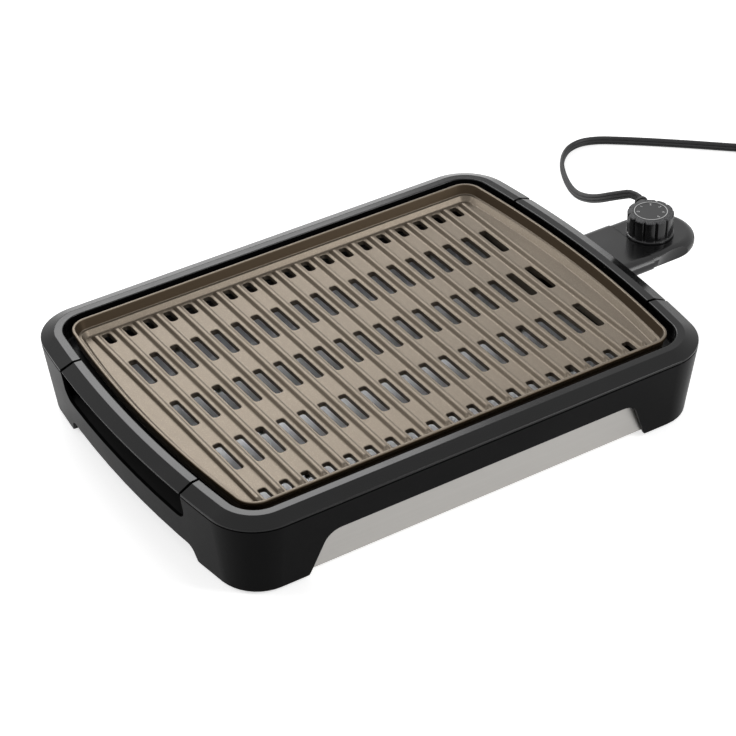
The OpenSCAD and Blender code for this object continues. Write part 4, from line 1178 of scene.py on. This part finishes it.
class GRILL_OT_knob(bpy.types.Operator):
    """Finish the knob and its dial, with generic numbers"""

    bl_idname = "grill.knob"
    bl_label = "Knob"

    def execute(self, context):
        colours = context.scene.grill_colours
        low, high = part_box("knob_dial")
        middle = (low + high) / 2
        self.fluted_knob(colours, middle)
        dress("knob_dial", dial_face("Dial face", colours, middle), FINE_ROUND)
        dress("knob_shaft", bare_metal("Shaft steel", (0.62, 0.62, 0.62), 0.26), METAL_ROUND)
        ink = printed_ink("Dial ink", colours.print_white)
        for index in range(NUMERALS):
            angle = math.radians(NUMERAL_START - NUMERAL_STEP * index)
            self.numeral(context, index, ink, angle, Vector((middle.x, middle.y, high.z)))
        return done()

    def fluted_knob(self, colours, middle):
        """The knob: a foot flange, grooves up its side, and a rough ring round the dial."""
        low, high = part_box("temperature_knob")
        top = (high.z - low.z) / MM
        # Each ring: radius, height, and the share of a groove's depth.
        profile = [
            (16.0, 0.0, 0.0), (19.4, 0.0, 0.0), (19.7, 0.3, 0.0), (19.7, 1.7, 0.0),
            (19.4, 2.0, 0.0), (18.9, 2.2, 0.1), (18.8, 2.6, 0.6), (18.9, 3.6, 1.0),
            (19.0, 9.0, 1.0), (19.05, 14.0, 1.0), (19.1, top - 3.0, 1.0), (19.1, top - 1.9, 1.0),
            (18.9, top - 1.2, 1.0), (18.4, top - 0.8, 0.9), (17.0, top - 0.5, 0.45),
            (15.6, top - 0.3, 0.05), (14.35, top - 0.15, 0.0), (14.1, top - 0.2, 0.0),
            (14.05, top - 0.5, 0.0), (14.05, top - 2.6, 0.0)]
        rings = []
        for r, z, share in profile:
            ring = []
            for i in range(KNOB_STEPS):
                a = 2 * math.pi * i / KNOB_STEPS
                groove = (0.5 + 0.5 * math.cos(KNOB_GROOVES * (a - GROOVE_ANGLE))) ** GROOVE_SHARPNESS
                reach = (r - GROOVE_DEPTH * share * groove) * MM
                x = middle.x + reach * math.cos(a)
                y = middle.y + reach * math.sin(a)
                ring.append(Vector((x, y, low.z + z * MM)))
            rings.append(ring)
        bm = bmesh.new()
        add_tube(bm, rings)
        material = knob_moulding("Knob moulding", colours.moulding, middle, high.z)
        made = new_piece("fluted_knob", bm, material, "knob", ("temperature_knob",))
        finish_edges(made, limit=40, weld=False)

    def numeral(self, context, index, ink, angle, middle):
        """One raised numeral, its foot towards the dial's middle."""
        curve = bpy.data.curves.new("numeral", "FONT")
        curve.body = str(index)
        curve.size = context.scene.grill_sizes.numeral_height * TEXT_SCALE
        curve.align_x = "CENTER"
        curve.align_y = "CENTER"
        curve.extrude = NUMERAL_EXTRUDE
        obj = in_scene("numeral_source", curve)
        x = middle.x + NUMERAL_RADIUS * math.cos(angle)
        y = middle.y + NUMERAL_RADIUS * math.sin(angle)
        place = Matrix.Translation(Vector((x, y, middle.z - NUMERAL_SINK)))
        obj.matrix_world = place @ Matrix.Rotation(angle - math.pi / 2, 4, "Z")
        context.view_layer.update()
        evaluated = obj.evaluated_get(context.evaluated_depsgraph_get())
        bm = bmesh.new()
        bm.from_mesh(evaluated.to_mesh())
        bmesh.ops.transform(bm, matrix=obj.matrix_world, verts=bm.verts)
        bmesh.ops.remove_doubles(bm, verts=bm.verts, dist=TEXT_WELD_REACH)
        bpy.data.objects.remove(obj)
        made = new_piece("dial_numeral_%d" % index, bm, ink, "knob")
        for polygon in made.data.polygons:
            polygon.use_smooth = False


OPERATORS = (
    GRILL_OT_studio, GRILL_OT_cord, GRILL_OT_base, GRILL_OT_tray,
    GRILL_OT_plate, GRILL_OT_control, GRILL_OT_knob,
)


class GRILL_PT_panel(bpy.types.Panel):
    """The grill's operators, sizes and colours."""

    bl_idname = "GRILL_PT_panel"
    bl_label = "Countertop Grill"
    bl_space_type = "VIEW_3D"
    bl_region_type = "UI"
    bl_category = "Grill"

    def draw(self, context):
        for operator in OPERATORS:
            self.layout.operator(operator.bl_idname)
        for group in (context.scene.grill_sizes, context.scene.grill_colours):
            box = self.layout.box()
            for name in group.__annotations__:
                box.prop(group, name)


CLASSES = (GrillSizes, GrillColours, *OPERATORS, GRILL_PT_panel)


def register():
    for cls in CLASSES:
        bpy.utils.register_class(cls)
    bpy.types.Scene.grill_sizes = bpy.props.PointerProperty(type=GrillSizes)
    bpy.types.Scene.grill_colours = bpy.props.PointerProperty(type=GrillColours)


def unregister():
    del bpy.types.Scene.grill_colours
    del bpy.types.Scene.grill_sizes
    for cls in reversed(CLASSES):
        bpy.utils.unregister_class(cls)


def main():
    """Runs every operator."""
    register()
    bpy.ops.grill.studio()
    bpy.ops.grill.cord()
    bpy.ops.grill.base()
    bpy.ops.grill.tray()
    bpy.ops.grill.plate()
    bpy.ops.grill.control()
    bpy.ops.grill.knob()


if __name__ == "__main__":
    main()
